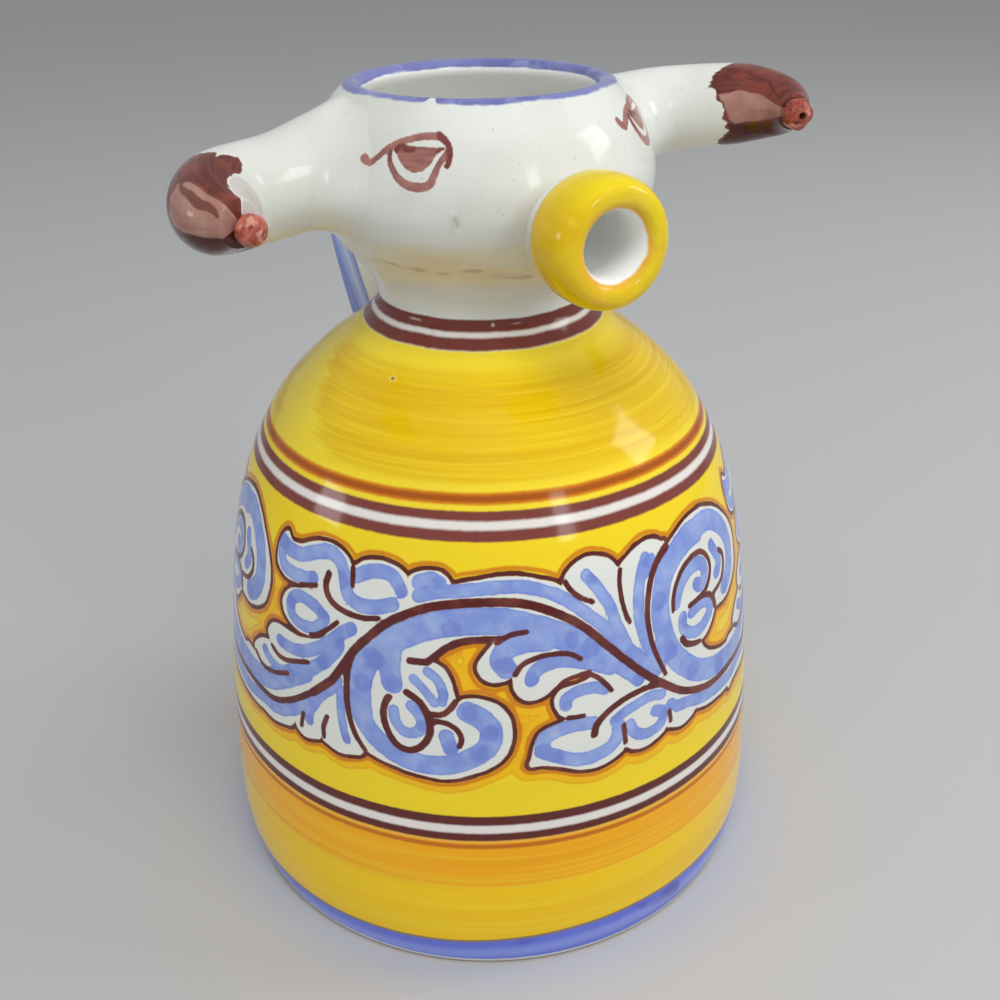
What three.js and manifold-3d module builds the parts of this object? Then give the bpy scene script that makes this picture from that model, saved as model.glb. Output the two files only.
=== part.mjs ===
// A hand-thrown earthenware jug in the form of a bull: a bell-shaped body, a waisted neck, a bowl-shaped
// head that is open at the top, two hollow horns, a ringed muzzle that pours, and a strap handle.
// Millimetres, +Z up. The origin is on the body's axis, on the plane that the jug stands on.
// The bull faces -Y, its horns reach along X and the handle is at +Y.

import * as THREE from 'three';
import { mergeVertices } from 'three/addons/utils/BufferGeometryUtils.js';
import Module from 'manifold-3d';

const wasm = await Module();
wasm.setup();

// The thrown pot's outside, from the base up: the radius of each ring, and its rise above the ring below.
const footRadius = 59.2;
const heelRadius = 62.6;
const heelRise = 7;
const bellyRadius = 63.4;
const bellyRise = 15;
const flankRadius = 61.2;
const flankRise = 34;
const haunchRadius = 56.3;
const haunchRise = 32;
const shoulderRadius = 47.4;
const shoulderRise = 21;
const domeRadius = 36.6;
const domeRise = 12;
const collarRadius = 26;
const collarRise = 8;
const throatRadius = 22.2;
const throatRise = 7.3;
const seamRadius = 29.7;
const seamRise = 10.9;
const cheekRadius = 34.2;
const cheekRise = 6.3;
const browRadius = 35.3;
const browRise = 7.5;
const crownRadius = 31.8;
const crownRise = 9.5;
const rimRadius = 26.9;
const rimRise = 5.9;

// The clay.
const bodyWall = 5;
const headWall = 4.4;
const floorThickness = 6.5;
const floorFillet = 9;
const jointGap = 0.3;

// The muzzle: a bored tube from the head's wall, and the fat ring that is luted round its mouth.
const muzzleDrop = 5.8;
const boreRadius = 5.7;
const spoutLength = 3.7;
const spoutWall = 2.4;
const spoutFlare = 0.4;
const ringWidth = 6.5;
const ringLength = 12.8;
const ringSquareness = 2.5;

// The horns: an arm from the head, an elbow that turns forward, and a taper to the seat of the nub.
// Each station is measured outwards from the brow, and forward of the jug's axis.
const hornRootDepth = 7.3;
const hornRootRadius = 11;
const hornRootLift = 3.2;
const hornArmReach = 7.2;
const hornArmForward = 3;
const hornArmRadius = 9.7;
const hornElbowReach = 21.7;
const hornElbowForward = 11;
const hornElbowRadius = 9.2;
const hornBendReach = 24.9;
const hornBendForward = 19.5;
const hornBendRadius = 6.9;
const hornTipReach = 23.1;
const hornTipForward = 26;
const hornTipRadius = 4.1;
const hornWall = 4;
const nubRadius = 3.2;
const nubLength = 4.8;
const nubWidest = 0.4;
const ventRadius = 0.7;

// How the two hand-made horns differ: the left one droops and is stouter, and the right one's vent shows.
const leftHornLift = 0.8;
const rightArmLift = 6.8;
const rightTipLift = 7.6;
const rightGirth = 0.9;
const horns = [
  { side: 'left', sign: -1, girth: 1, armLift: leftHornLift, tipLift: leftHornLift, vented: false },
  { side: 'right', sign: 1, girth: rightGirth, armLift: rightArmLift, tipLift: rightTipLift, vented: true },
];

// The strap handle: its middle line leaves the back of the head above the brow, stands off from it
// at the crest and the grip, and comes down on the shoulder.
const strapTopWidth = 31;
const strapFootWidth = 22.5;
const strapThickness = 7.6;
const strapSquareness = 2.5;
const strapTopLift = 3;
const strapCrestReach = 10.7;
const strapCrestLift = 4.5;
const strapGripReach = 21.2;
const strapGripDrop = 16;
const strapFootDrop = 46;

// How finely the round forms are divided.
const potSegments = 48;
const stepsPerRing = 2;
const filletSteps = 4;
const lipSteps = 6;
const hornSegments = 16;
const hornSteps = 14;
const nubSteps = 6;
const ringSegments = 28;
const ringProfilePoints = 14;
const strapSegments = 16;
const strapSteps = 16;
const shortestStep = 0.3;
const weldDistance = 1e-5;

const whiteGlaze = new THREE.Color(0xdcdcd4);
const yellowGlaze = new THREE.Color(0xe3b820);
const brownGlaze = new THREE.Color(0x78342a);

// Heights above the base of the neck's two seats, the brow and the muzzle's axis.
const shoulderHeight = heelRise + bellyRise + flankRise + haunchRise + shoulderRise;
const collarHeight = shoulderHeight + domeRise + collarRise;
const seamHeight = collarHeight + throatRise + seamRise;
const browHeight = seamHeight + cheekRise + browRise;
const muzzleHeight = browHeight - muzzleDrop;

const rings = [
  [footRadius, 0],
  [heelRadius, heelRise],
  [bellyRadius, bellyRise],
  [flankRadius, flankRise],
  [haunchRadius, haunchRise],
  [shoulderRadius, shoulderRise],
  [domeRadius, domeRise],
  [collarRadius, collarRise],
  [throatRadius, throatRise],
  [seamRadius, seamRise],
  [cheekRadius, cheekRise],
  [browRadius, browRise],
  [crownRadius, crownRise],
  [rimRadius, rimRise],
];

// The whole pot's outside as points of radius and height, base first.
function potOutline() {
  let height = 0;
  const stations = rings.map(([radius, rise]) => {
    height += rise;
    return new THREE.Vector2(radius, height);
  });
  return new THREE.SplineCurve(stations).getPoints((stations.length - 1) * stepsPerRing);
}

// The outline moved by a distance along its own normals, outwards where the distance is positive.
function offsetOutline(points, distance) {
  return points.map((point, i) => {
    const before = points[Math.max(i - 1, 0)];
    const after = points[Math.min(i + 1, points.length - 1)];
    const along = after.clone().sub(before).normalize();
    return new THREE.Vector2(point.x + along.y * distance, point.y - along.x * distance);
  });
}

// The radius of an outline at a height.
function radiusAt(points, height) {
  const reached = points.findIndex((point, i) => i > 0 && point.y >= height);
  const upper = reached < 0 ? points.length - 1 : reached;
  const above = points[upper];
  const below = points[upper - 1];
  return THREE.MathUtils.mapLinear(height, below.y, above.y, below.x, above.x);
}

// The part of an outline between two heights, with points exactly on both and none crowding them.
function stretch(points, low, high) {
  return [
    new THREE.Vector2(radiusAt(points, low), low),
    ...points.filter((point) => point.y > low + shortestStep && point.y < high - shortestStep),
    new THREE.Vector2(radiusAt(points, high), high),
  ];
}

// A quarter or half round between two directions about a centre, in radius and height.
function roundCorner(centre, radius, from, to, steps) {
  const points = [];
  for (let i = 0; i <= steps; i += 1) {
    const angle = from + ((to - from) * i) / steps;
    points.push(new THREE.Vector2(Math.cos(angle), Math.sin(angle)).multiplyScalar(radius).add(centre));
  }
  return points;
}

// A profile turned about +Z, its seam at the back of the bull.
function turned(profile) {
  return new THREE.LatheGeometry(profile, potSegments, Math.PI).rotateX(Math.PI / 2);
}

// A geometry as a solid that can be joined and cut.
function solidOf(geometry) {
  const bare = geometry.clone();
  bare.deleteAttribute('normal');
  bare.deleteAttribute('uv');
  const merged = mergeVertices(bare, weldDistance);
  const triangles = [];
  const index = merged.index.array;
  for (let i = 0; i < index.length; i += 3) {
    const [a, b, c] = [index[i], index[i + 1], index[i + 2]];
    if (a !== b && b !== c && c !== a) {
      triangles.push(a, b, c);
    }
  }
  return new wasm.Manifold(new wasm.Mesh({
    numProp: 3,
    vertProperties: new Float32Array(merged.attributes.position.array),
    triVerts: new Uint32Array(triangles),
  }));
}

// A cut solid as a geometry again.
function geometryOf(solid) {
  const mesh = solid.getMesh();
  const geometry = new THREE.BufferGeometry();
  geometry.setAttribute('position', new THREE.BufferAttribute(new Float32Array(mesh.vertProperties), 3));
  geometry.setIndex([...mesh.triVerts]);
  geometry.computeVertexNormals();
  return geometry;
}

// A closed form through loops of points that all run the same way, with a flat cap at each end.
function loft(loops) {
  const count = loops[0].length;
  const positions = loops.flat().flatMap((point) => [point.x, point.y, point.z]);
  const triangles = [];
  for (let ring = 0; ring < loops.length - 1; ring += 1) {
    for (let i = 0; i < count; i += 1) {
      const next = (i + 1) % count;
      const low = ring * count;
      const high = low + count;
      triangles.push(low + i, low + next, high + next, low + i, high + next, high + i);
    }
  }
  const last = (loops.length - 1) * count;
  for (let i = 1; i < count - 1; i += 1) {
    triangles.push(0, i + 1, i, last, last + i, last + i + 1);
  }
  const geometry = new THREE.BufferGeometry();
  geometry.setAttribute('position', new THREE.Float32BufferAttribute(positions, 3));
  geometry.setIndex(triangles);
  return geometry;
}

const outline = potOutline();
const bodyInside = offsetOutline(outline, -bodyWall);
const headInside = offsetOutline(outline, -headWall);

// Everything inside the pot's surface and the joint's gap: what a luted piece is cut back to.
function potEnvelope() {
  const skin = offsetOutline(outline, jointGap);
  const top = skin[skin.length - 1];
  return solidOf(turned([new THREE.Vector2(0, skin[0].y), ...skin, new THREE.Vector2(0, top.y)]));
}

function bodyGeometry() {
  const filletTop = floorThickness + floorFillet;
  const innerFoot = radiusAt(bodyInside, filletTop);
  const filletCentre = new THREE.Vector2(innerFoot - floorFillet, filletTop);
  const profile = [
    new THREE.Vector2(0, 0),
    ...stretch(outline, 0, collarHeight),
    ...stretch(bodyInside, filletTop, collarHeight).reverse(),
    ...roundCorner(filletCentre, floorFillet, 0, -Math.PI / 2, filletSteps).slice(1),
    new THREE.Vector2(0, floorThickness),
  ];
  return turned(profile);
}

function neckGeometry() {
  const outside = stretch(outline, collarHeight, seamHeight);
  const inside = stretch(bodyInside, collarHeight, seamHeight).reverse();
  return turned([...outside, ...inside, outside[0].clone()]);
}

// The head's bowl, with its half-round lip, and the bore that lets the muzzle pour.
function headGeometry() {
  const outside = stretch(outline, seamHeight, outline[outline.length - 1].y);
  const inside = headInside.filter((point) => point.y > seamHeight + headWall);
  const outerEnd = outside[outside.length - 1];
  const innerEnd = inside[inside.length - 1];
  const lipCentre = outerEnd.clone().add(innerEnd).multiplyScalar(0.5);
  const lipStart = outerEnd.clone().sub(lipCentre).angle();
  const profile = [
    ...outside,
    ...roundCorner(lipCentre, headWall / 2, lipStart, lipStart + Math.PI, lipSteps).slice(1, -1),
    ...inside.reverse(),
    new THREE.Vector2(radiusAt(bodyInside, seamHeight), seamHeight),
    outside[0].clone(),
  ];
  const bore = new THREE.CylinderGeometry(boreRadius, boreRadius, 2 * headFront, ringSegments);
  const boreSolid = solidOf(bore.translate(0, -headFront, muzzleHeight));
  return geometryOf(solidOf(turned(profile)).subtract(boreSolid));
}

const headFront = radiusAt(outline, muzzleHeight);
const ringDistance = headFront + spoutLength + ringLength / 2;

// A profile turned about the muzzle's axis, which points along -Y: its heights run away from the head.
function turnedMuzzle(profile) {
  const geometry = new THREE.LatheGeometry(profile, ringSegments).rotateX(Math.PI);
  return geometry.translate(0, -ringDistance, muzzleHeight);
}

// A point on a softly squared round of unit half width and half height: an ellipse has squareness 2.
function softSquare(angle, squareness) {
  const bend = (value) => Math.sign(value) * Math.abs(value) ** (2 / squareness);
  return new THREE.Vector2(bend(Math.cos(angle)), bend(Math.sin(angle)));
}

function ringProfile(extra) {
  const middle = boreRadius + ringWidth / 2;
  const points = [];
  for (let i = 0; i < ringProfilePoints; i += 1) {
    const point = softSquare((2 * Math.PI * i) / ringProfilePoints, ringSquareness);
    points.push(new THREE.Vector2(
      middle + point.x * (ringWidth / 2 + extra),
      point.y * (ringLength / 2 + extra),
    ));
  }
  return [...points, points[0].clone()];
}

function ringGeometry() {
  return turnedMuzzle(ringProfile(0));
}

// The tube starts inside the head's wall and ends inside the ring, and is cut back to both.
function spoutGeometry(envelope) {
  const back = headFront - headWall - ringDistance;
  const profile = [
    new THREE.Vector2(boreRadius, back),
    new THREE.Vector2(boreRadius + spoutWall + spoutFlare, back),
    new THREE.Vector2(boreRadius + spoutWall, -ringLength / 2),
    new THREE.Vector2(boreRadius + spoutWall, 0),
    new THREE.Vector2(boreRadius, 0),
    new THREE.Vector2(boreRadius, back),
  ];
  const tube = solidOf(turnedMuzzle(profile));
  return geometryOf(tube.subtract(envelope).subtract(solidOf(turnedMuzzle(ringProfile(jointGap)))));
}

// The horn's path and its radius along it, both over the same parameter from the root to the tip.
function hornForm(horn) {
  const stations = [
    [-hornRootDepth, 0, hornRootLift, hornRootRadius],
    [hornArmReach, hornArmForward, horn.armLift, hornArmRadius],
    [hornElbowReach, hornElbowForward, horn.armLift, hornElbowRadius],
    [hornBendReach, hornBendForward, horn.tipLift, hornBendRadius],
    [hornTipReach, hornTipForward, horn.tipLift, hornTipRadius],
  ];
  const path = new THREE.CatmullRomCurve3(stations.map(([reach, forward, lift]) => (
    new THREE.Vector3(horn.sign * (browRadius + reach), -forward, browHeight + lift)
  )));
  const radii = new THREE.SplineCurve(stations.map(([, , , radius], i) => (
    new THREE.Vector2(i, radius * horn.girth)
  )));
  return { path, radiusAlong: (t) => radii.getPoint(t).y };
}

// A round loop about a point, turned right-handed about the direction that the path takes there.
function roundLoop(centre, along, radius) {
  const across = new THREE.Vector3(0, 0, 1).cross(along).normalize();
  const upward = along.clone().cross(across);
  const loop = [];
  for (let i = 0; i < hornSegments; i += 1) {
    const angle = (2 * Math.PI * i) / hornSegments;
    loop.push(centre.clone()
      .addScaledVector(across, radius * Math.cos(angle))
      .addScaledVector(upward, radius * Math.sin(angle)));
  }
  return loop;
}

// A hollow horn, open where it is luted to the head. Where it is vented, a fine hole runs on through the tip.
function hornGeometry(horn, envelope) {
  const { path, radiusAlong } = hornForm(horn);
  const outside = [];
  const hollow = [];
  const vent = [];
  for (let i = 0; i <= hornSteps; i += 1) {
    const t = i / hornSteps;
    const centre = path.getPoint(t);
    const along = path.getTangent(t);
    const radius = radiusAlong(t);
    outside.push(roundLoop(centre, along, radius));
    vent.push(roundLoop(centre, along, ventRadius));
    if (radius > hornWall + 2 * ventRadius) {
      hollow.push(roundLoop(centre, along, radius - hornWall));
    }
  }
  const solid = solidOf(loft(outside)).subtract(envelope).subtract(solidOf(loft(hollow)));
  if (!horn.vented) {
    return geometryOf(solid);
  }
  const tangent = path.getTangent(1);
  vent.push(roundLoop(path.getPoint(1).addScaledVector(tangent, nubLength), tangent, ventRadius));
  return geometryOf(solid.subtract(solidOf(loft(vent))));
}

// The nub on a horn's tip: a pellet that is widest near its seat, pierced where the horn is vented.
function nubGeometry(horn) {
  const { path } = hornForm(horn);
  const hole = horn.vented ? ventRadius : 0;
  const first = -Math.asin(nubWidest / (1 - nubWidest));
  const last = Math.acos(hole / nubRadius);
  const dome = [];
  for (let i = 0; i <= nubSteps; i += 1) {
    const angle = first + ((last - first) * i) / nubSteps;
    const height = nubLength * (nubWidest + (1 - nubWidest) * Math.sin(angle));
    dome.push(new THREE.Vector2(nubRadius * Math.cos(angle), Math.max(height, 0)));
  }
  const profile = [new THREE.Vector2(hole, 0), ...dome];
  if (horn.vented) {
    profile.push(profile[0].clone());
  }
  const along = path.getTangent(1);
  const turn = new THREE.Quaternion().setFromUnitVectors(new THREE.Vector3(0, 1, 0), along);
  const seat = path.getPoint(1).addScaledVector(along, jointGap);
  const nub = new THREE.LatheGeometry(profile, hornSegments).applyQuaternion(turn);
  return nub.translate(seat.x, seat.y, seat.z);
}

// The strap's middle line, from inside the head's wall over the crest and the grip into the shoulder.
function strapPath() {
  const topHeight = browHeight + strapTopLift;
  const footHeight = browHeight - strapFootDrop;
  const footReach = radiusAt(outline, footHeight);
  const stations = [
    [radiusAt(headInside, topHeight), topHeight],
    [browRadius + strapCrestReach, browHeight + strapCrestLift],
    [browRadius + strapGripReach, browHeight - strapGripDrop],
    [footReach, footHeight],
    [footReach - bodyWall, footHeight - bodyWall],
  ];
  return new THREE.CatmullRomCurve3(stations.map(([reach, height]) => new THREE.Vector3(0, reach, height)));
}

function strapGeometry(envelope) {
  const path = strapPath();
  const across = new THREE.Vector3(1, 0, 0);
  const loops = [];
  for (let i = 0; i <= strapSteps; i += 1) {
    const t = i / strapSteps;
    const centre = path.getPoint(t);
    const outward = path.getTangent(t).cross(across);
    const halfWidth = THREE.MathUtils.lerp(strapTopWidth, strapFootWidth, t) / 2;
    const loop = [];
    for (let j = 0; j < strapSegments; j += 1) {
      const point = softSquare((2 * Math.PI * j) / strapSegments, strapSquareness);
      loop.push(centre.clone()
        .addScaledVector(across, point.x * halfWidth)
        .addScaledVector(outward, point.y * strapThickness / 2));
    }
    loops.push(loop);
  }
  return geometryOf(solidOf(loft(loops)).subtract(envelope));
}

const bull = new THREE.Group();

function add(name, geometry, color) {
  const material = new THREE.MeshStandardMaterial({ color, roughness: 0.2, metalness: 0 });
  const mesh = new THREE.Mesh(geometry, material);
  mesh.name = name;
  bull.add(mesh);
}

const envelope = potEnvelope();
add('body_bell', bodyGeometry(), yellowGlaze);
add('neck_collar', neckGeometry(), whiteGlaze);
add('head_bowl', headGeometry(), whiteGlaze);
add('muzzle_spout', spoutGeometry(envelope), whiteGlaze);
add('muzzle_ring', ringGeometry(), yellowGlaze);
for (const horn of horns) {
  add(`${horn.side}_horn`, hornGeometry(horn, envelope), whiteGlaze);
  add(`${horn.side}_horn_tip`, nubGeometry(horn), brownGlaze);
}
add('handle_strap', strapGeometry(envelope), whiteGlaze);

export default bull;
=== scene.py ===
"""A hand-painted, tin-glazed earthenware jug in the form of a bull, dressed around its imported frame."""

import math

import bpy
import numpy as np
from mathutils import Matrix, Vector


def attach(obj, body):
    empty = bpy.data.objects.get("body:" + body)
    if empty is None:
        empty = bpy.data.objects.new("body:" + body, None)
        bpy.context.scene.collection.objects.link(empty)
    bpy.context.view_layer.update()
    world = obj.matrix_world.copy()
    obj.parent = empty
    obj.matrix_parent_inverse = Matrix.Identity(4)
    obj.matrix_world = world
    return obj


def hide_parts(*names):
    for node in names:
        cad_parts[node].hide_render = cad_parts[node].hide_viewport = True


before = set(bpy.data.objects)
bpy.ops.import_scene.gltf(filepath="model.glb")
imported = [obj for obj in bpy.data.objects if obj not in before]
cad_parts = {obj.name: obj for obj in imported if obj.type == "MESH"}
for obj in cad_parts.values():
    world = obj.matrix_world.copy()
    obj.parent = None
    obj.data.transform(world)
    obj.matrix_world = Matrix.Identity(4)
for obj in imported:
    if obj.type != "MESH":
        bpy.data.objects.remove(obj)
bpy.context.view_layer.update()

# The camera: a lens a little longer than normal, above and to the left of the bull's muzzle.
# Its place is in millimetres from the middle of the jug's base, and its turns are in degrees.
MM = 0.001
camera_place = (-113.98, -218.95, 213.69)
camera_heading = -28.21
camera_fall = 27.92
camera_roll = -0.77
camera = bpy.data.objects.new("camera", bpy.data.cameras.new("camera"))
camera.data.lens = 43.2
camera.data.sensor_width = 36
camera.data.clip_start = 0.01
camera.matrix_world = (
    Matrix.Translation(Vector(camera_place) * MM)
    @ Matrix.Rotation(math.radians(camera_heading), 4, "Z")
    @ Matrix.Rotation(math.radians(90 - camera_fall), 4, "X")
    @ Matrix.Rotation(math.radians(camera_roll), 4, "Z")
)
bpy.context.scene.collection.objects.link(camera)
bpy.context.scene.camera = camera


# The body: a thick bell thrown on the wheel in red-buff earthenware, dipped in white tin glaze and
# painted all round with coloured oxides before the firing. It stands on its flat, wiped foot.
pot_rings = [
    (60.7, 0), (62.85, 7), (63.35, 22), (61.2, 56), (56.3, 88), (47.4, 109), (36.6, 121),
    (26, 129), (22.2, 136.3), (29.7, 147.2), (34.2, 153.5), (35.3, 161), (31.8, 170.5), (26.9, 176.4),
]
body_top = 129
body_wall = 5
floor_thickness = 6.5
floor_fillet = 9
foot_round = 1.2
pot_columns = 640


def curve_through(points, per_span, closed=False, evenness=0.0):
    """A smooth line through points: Catmull-Rom, even in its spans or, at 0.5, even in its lengths."""
    given = np.array(points, float)
    if closed:
        padded = np.vstack([given[-1:], given, given[:2]])
    else:
        first = 2 * given[0] - given[1] if evenness else given[0]
        last = 2 * given[-1] - given[-2] if evenness else given[-1]
        padded = np.vstack([first, given, last])
    shares = np.arange(per_span)[:, None] / per_span
    line = []
    for a, b, c, d in zip(padded, padded[1:], padded[2:], padded[3:]):
        before, middle, after = (np.linalg.norm(q - p) ** evenness for p, q in ((a, b), (b, c), (c, d)))
        leave = ((b - a) / before - (c - a) / (before + middle)) * middle + (c - b)
        reach = (c - b) - ((d - b) / (middle + after) - (d - c) / after) * middle
        line.append(
            (2 * shares**3 - 3 * shares**2 + 1) * b + (shares**3 - 2 * shares**2 + shares) * leave
            + (3 * shares**2 - 2 * shares**3) * c + (shares**3 - shares**2) * reach
        )
    return np.vstack(line if closed else line + [given[-1:]])


pot_line = curve_through(pot_rings, 24)


def radius_at(line, height):
    """The radius of a line of radius and height, at a height."""
    return np.interp(height, line[:, 1], line[:, 0])


def places_at(line, heights):
    """The places on a line of radius and height, at those heights."""
    return np.column_stack([radius_at(line, heights), heights])


def pot_radius(height):
    return radius_at(pot_line, height)


def unit(directions):
    """Directions made one long."""
    return directions / np.linalg.norm(directions, axis=1)[:, None]


def inward(line, distance):
    """A line of radius and height, moved inwards by a distance."""
    along = unit(np.gradient(line, axis=0))
    return line + distance * np.column_stack([-along[:, 1], along[:, 0]])


def arc(centre, radius, turns, flatness=1):
    """Places on a round of radius and height, at turns in radians. It may be flattened."""
    return centre + radius * np.column_stack([np.cos(turns), flatness * np.sin(turns)])


def lumps(points, size, seed):
    """Smooth unevenness from -1 to 1 over points in millimetres, with lumps of about that size."""
    waves = 14
    random = np.random.default_rng(seed)
    directions = random.normal(size=(waves, 3)) / size * 1.6
    starts = random.uniform(0, 2 * math.pi, waves)
    return np.clip(np.sin(points @ directions.T + starts).sum(axis=1) / 5, -1, 1)


def turned(profile, columns):
    """A profile of radius and height turned about the jug's axis, as rows of points. Angles start at the
    back of the bull, and the muzzle is at half a turn."""
    angles = np.linspace(0, 2 * math.pi, columns, endpoint=False)
    rows = np.empty((len(profile), columns, 3))
    rows[..., 0] = -profile[:, :1] * np.sin(angles)
    rows[..., 1] = profile[:, :1] * np.cos(angles)
    rows[..., 2] = profile[:, 1:]
    return rows


def skin(name, rows, ends="capped"):
    """A closed piece from rows of points in millimetres. Its two ends are capped, or meet each other."""
    count, columns = rows.shape[:2]
    points = rows.reshape(-1, 3)
    column = np.arange(columns)
    beside = (column + 1) % columns
    faces = []
    for row in range(count if ends == "joined" else count - 1):
        low, high = row * columns, (row + 1) % count * columns
        faces.extend(np.column_stack([low + column, low + beside, high + beside, high + column]).tolist())
    if ends == "capped":
        points = np.vstack([points, rows[0].mean(axis=0), rows[-1].mean(axis=0)])
        last = (count - 1) * columns
        first_hub, last_hub = len(points) - 2, len(points) - 1
        faces.extend([int(i), first_hub, int(j)][::-1] for i, j in zip(beside, column))
        faces.extend([int(last + i), last_hub, int(last + j)][::-1] for i, j in zip(column, beside))
    mesh = bpy.data.meshes.new(name)
    mesh.from_pydata((points * MM).tolist(), [], faces)
    mesh.polygons.foreach_set("use_smooth", [True] * len(mesh.polygons))
    mesh.update()
    piece = bpy.data.objects.new(name, mesh)
    bpy.context.scene.collection.objects.link(piece)
    return piece


def points_of(piece):
    """A piece's points, in millimetres."""
    points = np.empty(len(piece.data.vertices) * 3)
    piece.data.vertices.foreach_get("co", points)
    return points.reshape(-1, 3) / MM


def note(piece, name, values):
    """Writes one number, or one row of three, on each point of a piece for its glaze to read."""
    kind, key = ("FLOAT", "value") if values.ndim == 1 else ("FLOAT_VECTOR", "vector")
    attribute = piece.data.attributes.new(name, kind, "POINT")
    attribute.data.foreach_set(key, values.astype(np.float32).ravel())


def reach_of(points):
    """Millimetres level from the jug's axis."""
    return np.hypot(points[..., 0], points[..., 1])


def note_wheel(piece, points):
    """Writes the direction about the jug's axis and the height, along which a brush on the wheel runs."""
    reach = np.maximum(reach_of(points), 1e-6)[:, None]
    note(piece, "wheel", np.column_stack([points[:, :2] / reach, points[:, 2]]))


def angles_of(points):
    """Degrees round the jug from the muzzle, growing towards the bull's horn at +X."""
    return np.degrees(np.arctan2(points[:, 0], -points[:, 1]))


def turned_near(turns, middle):
    """Degrees counted so that they lie within half a turn of a middle."""
    return (turns - middle + 180) % 360 - 180 + middle


def past_middle(points, wall):
    """Millimetres inwards past the middle of the jug's wall, negative in its outer half."""
    return pot_radius(points[:, 2]) - reach_of(points) - wall / 2


# The edges of the paint are followed to this many millimetres away.
far_away = 9.0


def stroke_edge(points, line, start, end):
    """Millimetres from the edge of a brush stroke that runs along a line, negative in the stroke. Its
    half width goes from start to end."""
    best = np.full(len(points), far_away)
    widths = np.linspace(start, end, len(line))
    for a, b, width in zip(line[:-1], line[1:], widths):
        along = b - a
        share = np.clip(((points - a) @ along) / (along @ along), 0, 1)
        away = points - a - share[:, None] * along
        best = np.minimum(best, np.hypot(away[:, 0], away[:, 1]) - width)
    return best


def shape_edge(points, outline):
    """Millimetres from the edge of a closed shape, negative inside."""
    around = np.vstack([outline, outline[:1]])
    away = stroke_edge(points, around, 0, 0)
    x, y = points.T
    inside = np.zeros(len(points), bool)
    for (ax, ay), (bx, by) in zip(around[:-1], around[1:]):
        crossed = (ay > y) != (by > y)
        inside[crossed] ^= x[crossed] < ax + (y[crossed] - ay) * (bx - ax) / (by - ay)
    return np.where(inside, -away, away)


# The outer skin is fine where the frieze is painted. The wheel left faint rings in it.
frieze_foot = 43
frieze_head = 101
frieze_rows = 94
underside = [(1, 0.5), (40, 0.5), (48, 0.3), (50, 0)]
body_heights = np.concatenate([
    np.linspace(foot_round, frieze_foot, 14)[:-1],
    np.linspace(frieze_foot, frieze_head, frieze_rows)[:-1],
    np.linspace(frieze_head, body_top, 15),
])
foot_turns = np.linspace(-math.pi / 2, 0, 5)[:-1]
inside_line = inward(pot_line, body_wall)
fillet_top = floor_thickness + floor_fillet
fillet_turns = np.linspace(0, -math.pi / 2, 7)[1:]
body_profile = np.vstack([
    underside,
    arc([pot_radius(foot_round) - foot_round, foot_round], foot_round, foot_turns),
    places_at(pot_line, body_heights),
    places_at(inside_line, np.linspace(body_top, fillet_top, 15)),
    arc([radius_at(inside_line, fillet_top) - floor_fillet, fillet_top], floor_fillet, fillet_turns),
    [[20, floor_thickness], [1, floor_thickness]],
])
throwing_depth = 0.05
throwing_pitch = 7
throwing_seed = 3


def throw(rows):
    """The unevenness of throwing: faint rings that climb, and a slow wander of the wall, all inwards."""
    points = rows.reshape(-1, 3)
    reach = reach_of(points)
    climb = points[:, 2] / throwing_pitch + angles_of(points) / 360
    wander = 1.2 * lumps(points, 45, throwing_seed)
    moved = throwing_depth * (0.6 * np.sin(2 * math.pi * climb) + wander - 1.8)
    moved *= np.clip(reach / 12, 0, 1) * np.clip(points[:, 2] / 4, 0, 1)
    points[:, :2] *= (1 + moved / np.maximum(reach, 1))[:, None]
    return points.reshape(rows.shape)


body = skin("body", throw(turned(body_profile, pot_columns)))
body_points = points_of(body)
note_wheel(body, body_points)

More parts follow.
